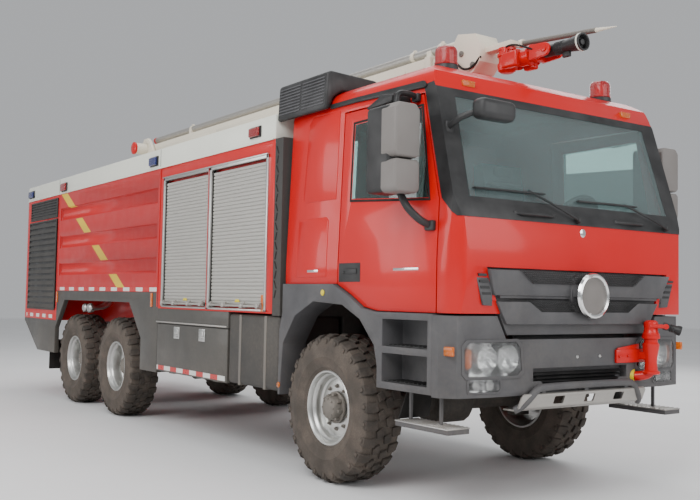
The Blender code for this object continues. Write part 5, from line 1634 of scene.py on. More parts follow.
@dataclass
class CabFront:
    """Grille, round badge, bumper and its lamps."""

    def mesh(self, half_top: float, half_low: float, top: float, low: float) -> Piece:
        """Woven wire mesh in a tapered opening."""
        Bench.pick()
        bpy.ops.mesh.primitive_grid_add(x_subdivisions=64, y_subdivisions=6, size=2.0, location=(0, 0, 0))
        piece = bpy.context.object
        for vertex in piece.data.vertices:
            share = (vertex.co.y + 1) / 2
            z = low + (top - low) * share
            half = half_low + (half_top - half_low) * share
            x = vertex.co.x * half
            vertex.co = (x, Probe.front(x, 1.5, ("grille",)) - 0.022, z)
        Bench.apply(piece, "WIREFRAME", thickness=0.005, use_even_offset=True)
        return piece

    def grille(self) -> None:
        """Bars, mesh, vents and the badge."""
        nodes = ("grille",)
        upper = [(-0.96, 1.642), (0.96, 1.642), (0.895, 1.468), (-0.895, 1.468)]
        upper_gap = [(-0.665, 1.642), (0.665, 1.642), (0.54, 1.558), (-0.54, 1.558)]
        lower = [(-0.86, 1.428), (0.86, 1.428), (0.765, 1.275), (-0.765, 1.275)]
        lower_gap = [(-0.60, 1.44), (0.60, 1.44), (0.465, 1.360), (-0.465, 1.360)]
        for word, bar, gap in (("upper", upper, upper_gap), ("lower", lower, lower_gap)):
            proud = 0.045 if word == "upper" else 0.026
            plate = Trim.front_plate(bar, proud, 0.05, ("cab_shell",) + nodes, 0.0)
            hole = Bench.prism(gap, aft(-1.8), aft(-1.2), Axis.Y)
            Bench.carve(plate, hole)
            Bench.rounded(plate, 0.008, 2, 40.0)
            Yard.set(plate, f"grille_bar_{word}", "truck", GREY, "grey_plastic")
            (left, top), _, (right_low, low), _ = gap
            net = self.mesh(-left, right_low, top, low)
            Yard.set(net, f"grille_mesh_{word}", "truck", BLACK, "black_plastic")
        y = Probe.front(0.0, 1.60, nodes) - 0.050
        ring = Bench.lathe(
            [(0.128, 0.0), (0.160, 0.0), (0.166, 0.012), (0.158, 0.030), (0.146, 0.036), (0.134, 0.028), (0.128, 0.012)],
            (0, y, 1.477), (0, -1, 0), steps=64)
        Yard.set(ring, "badge_ring", "truck", CHROME, "silver")
        dish = Bench.lathe(
            [(0.0, -0.02), (0.130, -0.02), (0.130, 0.010), (0.110, 0.006), (0.060, 0.016), (0.020, 0.022), (0.0, 0.023)],
            (0, y, 1.477), (0, -1, 0), steps=64)
        Yard.set(dish, "badge_dish", "truck", MIRROR_GREY, "grey_plastic")
        small_y = Probe.front(0.0, 1.931)
        button = Bench.lathe([(0.0, -0.004), (0.028, -0.004), (0.030, 0.003), (0.022, 0.006), (0.0, 0.008)], (0, small_y, 1.931), (0, -1, 0), steps=36)
        Yard.set(button, "front_button", "truck", CHROME, "silver")
        self.vents()

    def vents(self) -> None:
        """Slatted vents at both ends of the grille."""
        nodes = ("cab_shell",)
        quad = [(-1.075, 1.648), (-0.972, 1.644), (-0.852, 1.395), (-0.985, 1.402)]
        plate = Trim.front_plate(quad, 0.006, 0.02, nodes, 0.003)
        Yard.pair(plate, "front_vent_{}", "truck", GREY, "grey_plastic")
        slats = []
        for index in range(5):
            z = 1.430 + index * 0.041
            share = (z - 1.40) / 0.245
            left, right = -0.975 - 0.080 * share, -0.888 - 0.100 * share
            slat = [(left, z), (right, z), (right - 0.006, z + 0.017), (left - 0.006, z + 0.017)]
            slats.append(Trim.front_plate(slat, 0.011, 0.010, nodes, 0.0))
        Yard.pair(Bench.join(*slats), "vent_slats_{}", "truck", BLACK, "black_plastic")

    def bumper(self) -> None:
        """Bumper with pockets for the lamps and the low air opening."""
        shell = Bench.from_node("bumper")
        lamp = self.lamp_outline()
        fog = self.fog_outline()
        for mirror in (1, -1):
            for points in (lamp, fog):
                shape = [(x * mirror, z) for x, z in points]
                Bench.carve(shell, Bench.prism(shape, aft(-1.9), aft(-1.40), Axis.Y))
        low_gap = [(-0.50, 0.945), (0.50, 0.945), (0.40, 0.860), (-0.40, 0.860)]
        Bench.carve(shell, Bench.prism(low_gap, aft(-1.9), aft(-1.44), Axis.Y))
        Bench.rounded(shell, 0.012, 2, 35.0)
        Yard.set(shell, "bumper_skin", "truck", GREY, "grey_plastic", ["bumper"])
        slats = []
        for z in (0.872, 0.898, 0.924):
            half = 0.41 + (z - 0.86) * 1.1
            slats.append(Bench.prism([(aft(-1.492), z), (aft(-1.462), z + 0.004), (aft(-1.44), z + 0.014), (aft(-1.47), z + 0.012)], -half, half, Axis.X))
        Yard.set(Bench.join(*slats), "bumper_slats", "truck", BLACK, "black_plastic")
        for index, x in enumerate((-0.05, 0.195)):
            y = Probe.front(x, 1.04)
            bolt = Bench.lathe([(0.0, -0.004), (0.012, -0.004), (0.013, 0.003), (0.009, 0.007), (0.0, 0.008)], (x, y, 1.04), (0, -1, 0), steps=24)
            Yard.set(bolt, f"plate_bolt_{index}", "truck", SILVER, "silver")
        marker_x = Probe.side(aft(-1.41), 1.097, ("bumper", "wheel_arch_right"))
        marker = Bench.block((marker_x - 0.012, aft(-1.482), 1.066), (marker_x + 0.01, aft(-1.343), 1.128), 0.008, 3)
        Yard.pair(marker, "side_marker_{}", "truck", AMBER, "red")

    def lamp_outline(self) -> list[Flat]:
        """Headlamp seen from the front."""
        return [
            (-1.112, 0.965),
            (-1.080, 0.930),
            (-0.655, 0.928),
            (-0.615, 0.965),
            (-0.632, 1.115),
            (-0.672, 1.156),
            (-1.080, 1.150),
            (-1.116, 1.110),
        ]

    def fog_outline(self) -> list[Flat]:
        """Fog lamp seen from the front."""
        return [
            (-1.075, 0.828),
            (-0.84, 0.826),
            (-0.818, 0.845),
            (-0.820, 0.895),
            (-0.84, 0.912),
            (-1.06, 0.910),
            (-1.08, 0.885),
        ]

    def bowl(self, x: float, z: float, radius: float, front: float) -> Piece:
        """Chrome reflector bowl with a bulb in its middle."""
        profile = [
            (radius, 0.0),
            (radius * 0.93, -0.012),
            (radius * 0.70, -0.040),
            (radius * 0.35, -0.060),
            (0.0, -0.066),
            (0.0, -0.072),
            (radius * 0.40, -0.066),
            (radius * 0.78, -0.042),
            (radius * 1.02, -0.010),
            (radius * 1.04, 0.0),
        ]
        dish = Bench.lathe(profile, (x, front, z), (0, -1, 0), steps=40)
        bulb = Bench.drum((x, front + 0.062, z), (x, front + 0.022, z), 0.011, 0.008, 16, 0.003)
        return Bench.join(dish, bulb)

    def lamps(self) -> None:
        """Headlamps and fog lamps: trays, bowls, indicator bulbs and lenses."""
        nodes, face = ("bumper",), 0.92
        lamp, fog = self.lamp_outline(), self.fog_outline()
        deep = [
            Trim.front_plate(Trim.grown(shape, -0.002), -0.064, 0.012, nodes, 0.0, face)
            for shape in (lamp, fog)
        ]
        liner = Trim.front_plate(Trim.grown(lamp, -0.001), -0.012, 0.06, nodes, 0.0, face)
        inside = Bench.prism(Trim.grown(lamp, -0.012), aft(-1.9), aft(-1.0), Axis.Y)
        Bench.carve(liner, inside)
        Yard.pair(Bench.join(*deep, liner), "lamp_tray_{}", "truck", CHROME, "silver")
        bowls = []
        for x, z, radius in ((-0.735, 1.042, 0.090), (-0.925, 1.042, 0.086), (-0.90, 0.868, 0.034), (-1.01, 0.868, 0.030)):
            bowls.append(self.bowl(x, z, radius, Probe.front(x, face, nodes) + 0.012))
        Yard.pair(Bench.join(*bowls), "lamp_bowls_{}", "truck", CHROME, "silver")
        y = Probe.front(-1.05, face, nodes)
        bulb = Bench.block((-1.090, y + 0.020, 0.985), (-1.030, y + 0.055, 1.10), 0.016, 4)
        Yard.pair(bulb, "indicator_{}", "truck", AMBER, "red")
        lens = Trim.front_plate(lamp, 0.004, 0.008, nodes, 0.002, face)
        Yard.pair(lens, "headlamp_lens_{}", "truck", CLEAR, "glass")
        small = Trim.front_plate(fog, 0.004, 0.008, nodes, 0.002, face)
        Yard.pair(small, "fog_lens_{}", "truck", CLEAR, "glass")
        rims = []
        for shape, wide in ((lamp, 0.020), (fog, 0.012)):
            rim = Trim.front_plate(Trim.grown(shape, wide), 0.006, 0.014, nodes, 0.0, face)
            Bench.carve(rim, Bench.prism(shape, aft(-1.9), aft(-1.0), Axis.Y))
            rims.append(Bench.rounded(rim, 0.003, 2, 40.0))
        Yard.pair(Bench.join(*rims), "lamp_rims_{}", "truck", GREY, "grey_plastic")

    def build(self) -> None:
        """Dresses the front."""
        self.grille()
        self.bumper()
        self.lamps()


@dataclass
class Mirrors:
    """Side mirrors with two covers each, kerb mirrors and the front mirror."""

    def housing(self) -> Piece:
        """Dark mirror frame with its curved arms."""
        low_y, high_y = aft(-1.235), aft(-0.90)
        back = Bench.block((-1.525, low_y + 0.07, 2.145), (-1.315, high_y, 2.735), 0.030, 3)
        hollow = Bench.block((-1.500, high_y - 0.03, 2.175), (-1.340, high_y + 0.1, 2.705), 0.0)
        Bench.carve(back, hollow)
        top = Bench.tube([(-1.165, aft(-1.04), 2.835), (-1.24, aft(-1.05), 2.850), (-1.36, aft(-1.06), 2.848), (-1.395, aft(-1.07), 2.80), (-1.395, aft(-1.07), 2.70)], 0.021, 4)
        foot = Bench.tube([(-1.205, aft(-1.24), 1.93), (-1.27, aft(-1.24), 1.94), (-1.36, aft(-1.22), 2.00), (-1.39, aft(-1.15), 2.09), (-1.395, aft(-1.10), 2.20)], 0.026, 4)
        pad_low = Bench.block((-1.245, aft(-1.285), 1.895), (-1.2005, aft(-1.195), 1.965), 0.014, 3)
        pad_high = Bench.block((-1.215, aft(-1.075), 2.805), (-1.1745, aft(-1.005), 2.865), 0.012, 3)
        return Bench.join(back, top, foot, pad_low, pad_high)

    def covers(self) -> Piece:
        """Grey covers on the front of the housing: a tall one over a short one."""
        y = aft(-1.235)
        tall = [(-1.530, 2.40), (-1.505, 2.375), (-1.335, 2.375), (-1.312, 2.40), (-1.312, 2.70), (-1.345, 2.742), (-1.495, 2.742), (-1.530, 2.70)]
        short = [(-1.530, 2.165), (-1.505, 2.138), (-1.335, 2.138), (-1.312, 2.165), (-1.312, 2.345), (-1.335, 2.362), (-1.505, 2.362), (-1.530, 2.345)]
        plates = [Bench.prism(shape, y, y + 0.16, Axis.Y) for shape in (tall, short)]
        return Bench.join(*(Bench.rounded(plate, 0.022, 4, 40.0) for plate in plates))

    def glass(self) -> Piece:
        """Mirror glass, set in the back of the housing."""
        y = aft(-0.90)
        tall = Bench.block((-1.500, y - 0.028, 2.395), (-1.340, y - 0.020, 2.700), 0.003)
        short = Bench.block((-1.500, y - 0.028, 2.180), (-1.340, y - 0.020, 2.370), 0.003)
        return Bench.join(tall, short)

    def kerb(self) -> Piece:
        """Wedge-shaped kerb mirror over the window."""
        points = [(aft(-0.97), 2.80), (aft(-0.98), 2.85), (aft(-0.86), 2.865), (aft(-0.68), 2.80), (aft(-0.68), 2.785)]
        wedge = Bench.prism(points, -1.36, -1.19, Axis.X, 0.012)
        stay = Bench.tube([(-1.17, aft(-0.93), 2.845), (-1.22, aft(-0.93), 2.845), (-1.26, aft(-0.92), 2.835)], 0.018, 4)
        return Bench.join(wedge, stay)

    def build(self) -> None:
        """Models the right mirrors and mirrors them; the front mirror is single."""
        body, slot = "door_{}_body", "black_plastic"
        Yard.pair(self.housing(), "mirror_frame_{}", body, BLACK, slot, ["mirror_{}"])
        Yard.pair(self.covers(), "mirror_cover_{}", body, MIRROR_GREY, "grey_plastic")
        Yard.pair(self.glass(), "mirror_glass_{}", body, CHROME, "silver")
        Yard.pair(self.kerb(), "kerb_mirror_{}", body, BLACK, slot)
        y = aft(-1.52)
        dome = Bench.block((-1.08, y - 0.07, 2.635), (-0.755, y + 0.06, 2.775), 0.045, 5)
        tail = Probe.front(-1.13, 2.60)
        arm = Bench.tube([(-1.125, tail + 0.01, 2.60), (-1.135, tail - 0.05, 2.615), (-1.11, y + 0.10, 2.66), (-1.02, y + 0.02, 2.70)], 0.022, 4)
        foot = Bench.block((-1.16, tail - 0.015, 2.56), (-1.09, tail + 0.02, 2.64), 0.012, 3)
        Yard.set(Bench.join(dome, arm, foot), "front_mirror", "truck", BLACK, slot)


@dataclass
class CabTop:
    """Beacons and the ribbed air intake."""

    def beacon(self) -> None:
        """Fluted red domes on dark feet."""
        low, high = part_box("beacon_right")
        centre = middle("beacon_right")
        base = low.z if hasattr(low, "z") else low[2]
        foot = [(0.0, 0.0), (0.096, 0.0), (0.096, 0.012), (0.090, 0.018), (0.088, 0.045), (0.082, 0.050), (0.0, 0.050)]
        dome = [(0.0, 0.046), (0.080, 0.046), (0.087, 0.052), (0.087, 0.066), (0.083, 0.070), (0.083, 0.150), (0.079, 0.170), (0.066, 0.183), (0.040, 0.189), (0.0, 0.190)]
        place = (centre.x, centre.y, base)
        Yard.pair(Bench.lathe(foot, place, (0, 0, 1), 40), "beacon_foot_{}", "truck", BLACK, "black_plastic")
        Yard.pair(Bench.lathe(dome, place, (0, 0, 1), 48), "beacon_dome_{}", "truck", RED_LENS, "red", ["beacon_{}"])

    def intake(self) -> None:
        """Two ribbed grilles on the outer face of the intake."""
        faces = []
        for low, high in ((0.07, 0.40), (0.43, 0.76)):
            rows = []
            for index in range(9):
                z = 2.975 + index * 0.026
                x = -1.24 + (z - 2.93) * 0.052
                rows.append(Bench.block((x - 0.006, aft(low), z), (x + 0.01, aft(high), z + 0.012), 0.003))
            faces += rows
        Yard.set(Bench.join(*faces), "intake_ribs", "truck", GREY, "grey_plastic")

    def build(self) -> None:
        """Models the roof fittings of the cab."""
        self.beacon()
        self.intake()


# ---- boom, monitors and small gear --------------------------------------------------
@dataclass
class Boom:
    """Boom sleeves, clamps, head, water monitor and nozzle."""

    x: float = 0.10
    pipe_z: float = 3.67
    pan_aft: float = -0.62
    nozzle_z: float = 3.38

    def ring(self, y: float, radius: float, width: float, z: float) -> Piece:
        """Clamp ring round a pipe that runs along the truck, with a bolted ear."""
        profile = [(radius - 0.004, 0.0), (radius + 0.008, 0.0), (radius + 0.011, width * 0.3), (radius + 0.011, width * 0.7), (radius + 0.008, width), (radius - 0.004, width)]
        band = Bench.lathe(profile, (self.x, y, z), (0, 1, 0), steps=36)
        ear = Bench.block((self.x - 0.012, y + width * 0.15, z + radius), (self.x + 0.012, y + width * 0.85, z + radius + 0.024), 0.003)
        bolt = Bench.drum((self.x - 0.020, y + width / 2, z + radius + 0.014), (self.x + 0.020, y + width / 2, z + radius + 0.014), 0.006, sides=8)
        return Bench.join(band, ear, bolt)

    def sleeve(self) -> None:
        """Worn silver skin on the water pipe, with end collars and clamps."""
        front, rear = aft(0.18), aft(6.50)
        skin = Bench.lathe([(0.0395, 0.0), (0.0415, 0.0), (0.0415, rear - front), (0.0395, rear - front)], (self.x, front, self.pipe_z), (0, 1, 0), steps=40)
        Yard.set(skin, "boom_pipe_skin", "outer_boom_body", WORN_SILVER, "silver")
        clamps = [self.ring(aft(d), 0.041, 0.045, self.pipe_z) for d in (0.16, 0.55, 2.88, 5.28)]
        Yard.set(Bench.join(*clamps), "boom_pipe_clamps", "outer_boom_body", BOOM_WHITE, "off_white")
        cap = Bench.lathe([(0.0, 0.0), (0.0445, 0.0), (0.046, 0.008), (0.046, 0.045), (0.040, 0.058), (0.0, 0.062)], (self.x, aft(6.495), self.pipe_z), (0, 1, 0), steps=32)
        Yard.set(cap, "boom_pipe_cap", "outer_boom_body", RED, "red")
        pins = []
        for side in (-1, 1):
            end = self.x + side * 0.35
            pins.append(Bench.lathe([(0.0, 0.0), (0.083, 0.0), (0.088, 0.008), (0.088, 0.03), (0.070, 0.040), (0.0, 0.042)], (end - side * 0.010, aft(6.49), 3.52), (side, 0, 0), steps=36))
        Yard.set(Bench.join(*pins), "boom_shaft_caps", "outer_boom_body", RED, "red")

    def flanks(self) -> None:
        """Raised stiffeners and end frame of the outer boom."""
        parts = []
        for side in (-1, 1):
            face = self.x + side * 0.13
            for low_y, high_y in ((0.55, 2.35), (2.55, 4.35), (4.55, 6.20)):
                plate = Bench.block((face - 0.002, aft(low_y), 3.355), (face + side * 0.006, aft(high_y), 3.515), 0.004)
                parts.append(plate)
        Yard.set(Bench.join(*parts), "boom_flanks", "outer_boom_body", BOOM_WHITE, "off_white")
        y = aft(0.20)
        collar = Bench.block((self.x - 0.142, y - 0.004, 3.284), (self.x + 0.142, y + 0.07, 3.587), 0.006)
        hole = Bench.block((self.x - 0.128, y - 0.1, 3.298), (self.x + 0.128, y + 0.2, 3.573), 0.0)
        Bench.carve(collar, hole)
        Yard.set(collar, "boom_collar", "outer_boom_body", BOOM_WHITE, "off_white")

    def head(self) -> None:
        """Hose loops and pins at the boom head."""
        pins = []
        for side in (-1, 1):
            for y, z in ((-0.20, 3.52), (-0.34, 3.40)):
                start = self.x + side * 0.115
                pins.append(Bench.drum((start, aft(y), z), (start + side * 0.018, aft(y), z), 0.026, sides=24, round_by=0.003))
                pins.append(Bench.drum((start, aft(y), z), (start + side * 0.026, aft(y), z), 0.012, sides=6, round_by=0.002))
        Yard.set(Bench.join(*pins), "head_pins", "inner_boom_body", HUB_STEEL, "silver")
        hoses = []
        for dx, dz in ((-0.135, 0.0), (0.135, 0.02)):
            points = [
                (self.x + dx * 0.8, aft(-0.06), 3.50 + dz),
                (self.x + dx, aft(-0.14), 3.46 + dz),
                (self.x + dx * 1.1, aft(-0.26), 3.36 + dz),
                (self.x + dx * 1.0, aft(-0.38), 3.38 + dz),
                (self.x + dx * 0.8, aft(-0.42), 3.46 + dz),
            ]
            hoses.append(Bench.tube(points, 0.010, 3))
        Yard.set(Bench.join(*hoses), "head_hoses", "inner_boom_body", SEAL, "black_plastic")

    def spike(self) -> None:
        """Dark skin of the piercing spike, with pale clamps."""
        low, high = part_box("inner_boom")
        rear, tip = Vector((0.25, aft(-0.20), 3.596)), Vector((0.25, low[1], 3.480))
        run = tip - rear
        length = run.length
        tube = [(0.0, -0.002), (0.0265, -0.002), (0.0205, length * 0.865), (0.0, length * 0.865)]
        skin = Bench.lathe(tube, rear, run, steps=28)
        Yard.set(skin, "spike_skin", "inner_boom_body", HUB_STEEL, "silver")
        band = [(0.020, 0.0), (0.034, 0.0), (0.036, 0.010), (0.036, 0.035), (0.034, 0.045), (0.020, 0.045)]
        clamps = [Bench.lathe(band, rear + run * share, run, steps=28) for share in (0.05, 0.30)]
        Yard.set(Bench.join(*clamps), "spike_clamps", "inner_boom_body", BOOM_WHITE, "off_white")

    def monitor(self) -> None:
        """Swivel, flanged elbow, gear case and cheeks of the boom monitor."""
        y = aft(self.pan_aft)
        upright = [
            (0.0, -0.085),
            (0.050, -0.085),
            (0.072, -0.070),
            (0.078, -0.040),
            (0.078, -0.015),
            (0.068, -0.005),
            (0.068, 0.040),
            (0.080, 0.048),
            (0.080, 0.066),
            (0.066, 0.074),
            (0.066, 0.092),
            (0.074, 0.098),
            (0.074, 0.1165),
            (0.0, 0.1165),
        ]
        post = Bench.lathe(upright, (self.x, y, self.nozzle_z), (0, 0, 1), steps=40)
        barrel = [
            (0.0, 0.0),
            (0.060, 0.0),
            (0.064, 0.07),
            (0.064, 0.10),
            (0.086, 0.108),
            (0.086, 0.128),
            (0.066, 0.136),
            (0.070, 0.22),
            (0.070, 0.27),
            (0.088, 0.278),
            (0.088, 0.300),
            (0.062, 0.308),
            (0.056, 0.385),
            (0.0, 0.385),
        ]
        body = Bench.lathe(barrel, (self.x, y, self.nozzle_z), (0, -1, 0), steps=40)
        case = Bench.block((self.x - 0.105, y - 0.20, self.nozzle_z - 0.075), (self.x - 0.04, y - 0.03, self.nozzle_z + 0.055), 0.020, 4)
        motor = Bench.drum((self.x - 0.075, y - 0.05, self.nozzle_z + 0.03), (self.x - 0.075, y - 0.05, self.nozzle_z + 0.105), 0.026, sides=24, round_by=0.004)
        gear = Bench.block((self.x + 0.04, y - 0.26, self.nozzle_z - 0.09), (self.x + 0.10, y - 0.14, self.nozzle_z + 0.01), 0.016, 4)
        front = aft(-1.10)
        cheeks = []
        for side in (-1, 1):
            inner, outer = sorted((self.x + side * 0.062, self.x + side * 0.086))
            shape = []
            for step in range(9):
                angle = math.pi / 2 + math.pi * step / 8
                shape.append((front + 0.052 * math.cos(angle), self.nozzle_z + 0.052 * math.sin(angle)))
            shape += [(front + 0.16, self.nozzle_z - 0.060), (front + 0.16, self.nozzle_z + 0.060)]
            cheeks.append(Bench.prism(shape, inner, outer, Axis.X, 0.005))
            boss = self.x + side * 0.080
            cheeks.append(Bench.drum((boss, front, self.nozzle_z), (boss + side * 0.018, front, self.nozzle_z), 0.024, sides=20, round_by=0.003))
        web = Bench.block((self.x - 0.084, front + 0.115, self.nozzle_z - 0.058), (self.x + 0.084, front + 0.165, self.nozzle_z + 0.058), 0.010)
        bolts = []
        for along in (0.104, 0.274):
            bolt = Bench.drum((self.x, y - along, self.nozzle_z + 0.077), (self.x, y - along - 0.036, self.nozzle_z + 0.077), 0.007, sides=6)
            bolts += [Bench.turned(bolt, (self.x, y, self.nozzle_z), (0, 1, 0), math.tau * i / 10) for i in range(10)]
            bpy.data.objects.remove(bolt)
        Yard.set(Bench.join(post, body, case, motor, gear, web, *cheeks, *bolts), "boom_monitor_skin", "monitor_body", RED, "red", ["boom_monitor"])
        cable = Bench.tube([(self.x - 0.075, y - 0.05, self.nozzle_z + 0.10), (self.x - 0.10, y - 0.12, self.nozzle_z + 0.11), (self.x - 0.10, y - 0.26, self.nozzle_z + 0.07), (self.x - 0.08, y - 0.36, self.nozzle_z + 0.02)], 0.008, 3)
        Yard.set(cable, "monitor_cable", "monitor_body", SEAL, "black_plastic")

    def nozzle(self) -> None:
        """Black nozzle with grip ribs, a flared end and a pale ring."""
        start, end = aft(-1.04), aft(-1.42)
        length = start - end
        profile = [(0.0, 0.0), (0.046, 0.0)]
        for index in range(6):
            at = 0.115 + index * 0.014
            profile += [(0.047, at), (0.051, at + 0.003), (0.051, at + 0.008), (0.047, at + 0.011)]
        profile += [
            (0.046, length - 0.16),
            (0.052, length - 0.12),
            (0.060, length - 0.05),
            (0.068, length - 0.030),
            (0.068, length),
            (0.056, length),
            (0.050, length - 0.05),
            (0.0, length - 0.06),
        ]
        body = Bench.lathe(profile, (self.x, start, self.nozzle_z), (0, -1, 0), steps=44)
        pin = Bench.drum((self.x - 0.0615, aft(-1.10), self.nozzle_z), (self.x + 0.0615, aft(-1.10), self.nozzle_z), 0.03, sides=24)
        core = Bench.drum((self.x, end + 0.07, self.nozzle_z), (self.x, end + 0.008, self.nozzle_z), 0.030, 0.022, 28, 0.004)
        grip = Bench.block((self.x - 0.014, end + 0.13, self.nozzle_z - 0.085), (self.x + 0.014, end + 0.20, self.nozzle_z - 0.035), 0.006)
        Yard.set(Bench.join(body, pin, core, grip), "boom_nozzle_skin", "nozzle_body", BLACK, "black_plastic", ["boom_nozzle"])
        ring = Bench.lathe([(0.0670, 0.0), (0.0695, 0.002), (0.0695, 0.014), (0.0670, 0.016)], (self.x, end + 0.028, self.nozzle_z), (0, -1, 0), steps=44)
        Yard.set(ring, "nozzle_ring", "nozzle_body", WHITE, "off_white")

    def build(self) -> None:
        """Dresses the boom and its monitor."""
        self.sleeve()
        self.flanks()
        self.head()
        self.spike()
        self.monitor()
        self.nozzle()


@dataclass
class BumperMonitor:
    """Red turret on the bumper: bracket, riser, swivel elbow and black nozzle."""

    x: float = 0.66
    y: float = aft(-1.60)
    joint_z: float = 1.19
    pivot_z: float = 1.26
    aim_deg: float = -50.0

    def riser(self) -> Piece:
        """Flanged riser with its bent feed pipe and bracket."""
        profile = [
            (0.0, 0.0),
            (0.060, 0.0),
            (0.066, 0.008),
            (0.066, 0.020),
            (0.048, 0.030),
            (0.044, 0.090),
            (0.048, 0.130),
            (0.060, 0.200),
            (0.062, 0.225),
            (0.050, 0.240),
            (0.050, 0.262),
            (0.066, 0.268),
            (0.066, 0.290),
            (0.0, 0.290),
        ]
        post = Bench.lathe(profile, (self.x, self.y, self.joint_z - 0.29), (0, 0, 1), steps=36)
        wall = aft(-1.50) - 0.0003
        plate = Bench.block((self.x - 0.30, wall - 0.022, 0.985), (self.x + 0.16, wall, 1.085), 0.006)
        arm = Bench.block((self.x - 0.045, self.y, 1.005), (self.x + 0.045, wall - 0.01, 1.065), 0.012, 3)
        rib = Bench.prism([(self.x - 0.28, 1.075), (self.x - 0.28, 1.095), (self.x - 0.03, 1.125), (self.x - 0.03, 1.075)], wall - 0.016, wall - 0.004, Axis.Y, 0.002)
        bend = Bench.tube([(self.x, self.y, 0.93), (self.x - 0.005, self.y + 0.01, 0.905), (self.x - 0.03, self.y + 0.05, 0.885), (self.x - 0.06, self.y + 0.10, 0.88)], 0.036, 5)
        bolt = Bench.drum((self.x - 0.27, wall - 0.02, 1.035), (self.x - 0.27, wall - 0.034, 1.035), 0.011, sides=6, round_by=0.002)
        bolts = [Bench.moved(bolt, step, 0, 0) for step in (0.0, 0.10, 0.38)]
        bpy.data.objects.remove(bolt)
        return Bench.join(post, plate, arm, rib, bend, *bolts)

    def build(self) -> None:
        """Models the turret."""
        Yard.set(self.riser(), "bumper_riser_skin", "truck", RED, "red", ["bumper_monitor_riser"])
        ring = Bench.lathe([(0.038, 0.0), (0.052, 0.0), (0.052, 0.03), (0.038, 0.03)], (self.x - 0.060, self.y + 0.10, 0.88), (-0.5, 1, 0), steps=28)
        Yard.set(ring, "bumper_coupling", "truck", YELLOW, "red")
        turn = math.radians(self.aim_deg)
        aim = Vector((math.cos(turn), math.sin(turn), 0))
        cross = Vector((-aim.y, aim.x, 0))
        base = self.joint_z + 0.0003
        centre = Vector((self.x, self.y, self.pivot_z))
        column = [
            (0.0, 0.0),
            (0.062, 0.0),
            (0.064, 0.010),
            (0.056, 0.020),
            (0.050, 0.050),
            (0.054, 0.080),
            (0.050, 0.100),
            (0.036, 0.112),
            (0.0, 0.116),
        ]
        parts = [Bench.lathe(column, (self.x, self.y, base), (0, 0, 1), steps=36)]
        pivot = centre + aim * 0.105
        for side in (-1, 1):
            start = centre + cross * 0.044 * side - aim * 0.01
            parts.append(Bench.tube([start, centre + cross * 0.047 * side + aim * 0.05, pivot + cross * 0.046 * side], 0.0145, 3))
            boss = pivot + cross * 0.036 * side
            parts.append(Bench.drum(boss, pivot + cross * 0.054 * side, 0.020, sides=20, round_by=0.003))
        Yard.set(Bench.join(*parts), "bumper_elbow_skin", "bumper_monitor_head", RED, "red", ["bumper_monitor_elbow"])
        droop = Vector((aim.x, aim.y, -0.30)).normalized()
        profile = [
            (0.0, -0.022),
            (0.024, -0.022),
            (0.028, -0.012),
            (0.028, 0.010),
            (0.025, 0.020),
            (0.025, 0.032),
            (0.030, 0.036),
            (0.030, 0.042),
            (0.026, 0.046),
            (0.030, 0.052),
            (0.030, 0.058),
            (0.027, 0.064),
            (0.036, 0.088),
            (0.038, 0.108),
            (0.034, 0.115),
            (0.026, 0.115),
            (0.020, 0.090),
            (0.0, 0.086),
        ]
        nozzle = Bench.lathe(profile, pivot, droop, steps=36)
        pin = Bench.drum(pivot - cross * 0.031, pivot + cross * 0.031, 0.019, sides=20)
        Yard.set(Bench.join(nozzle, pin), "bumper_nozzle_skin", "bumper_nozzle_body", BLACK, "black_plastic", ["bumper_monitor_nozzle"])


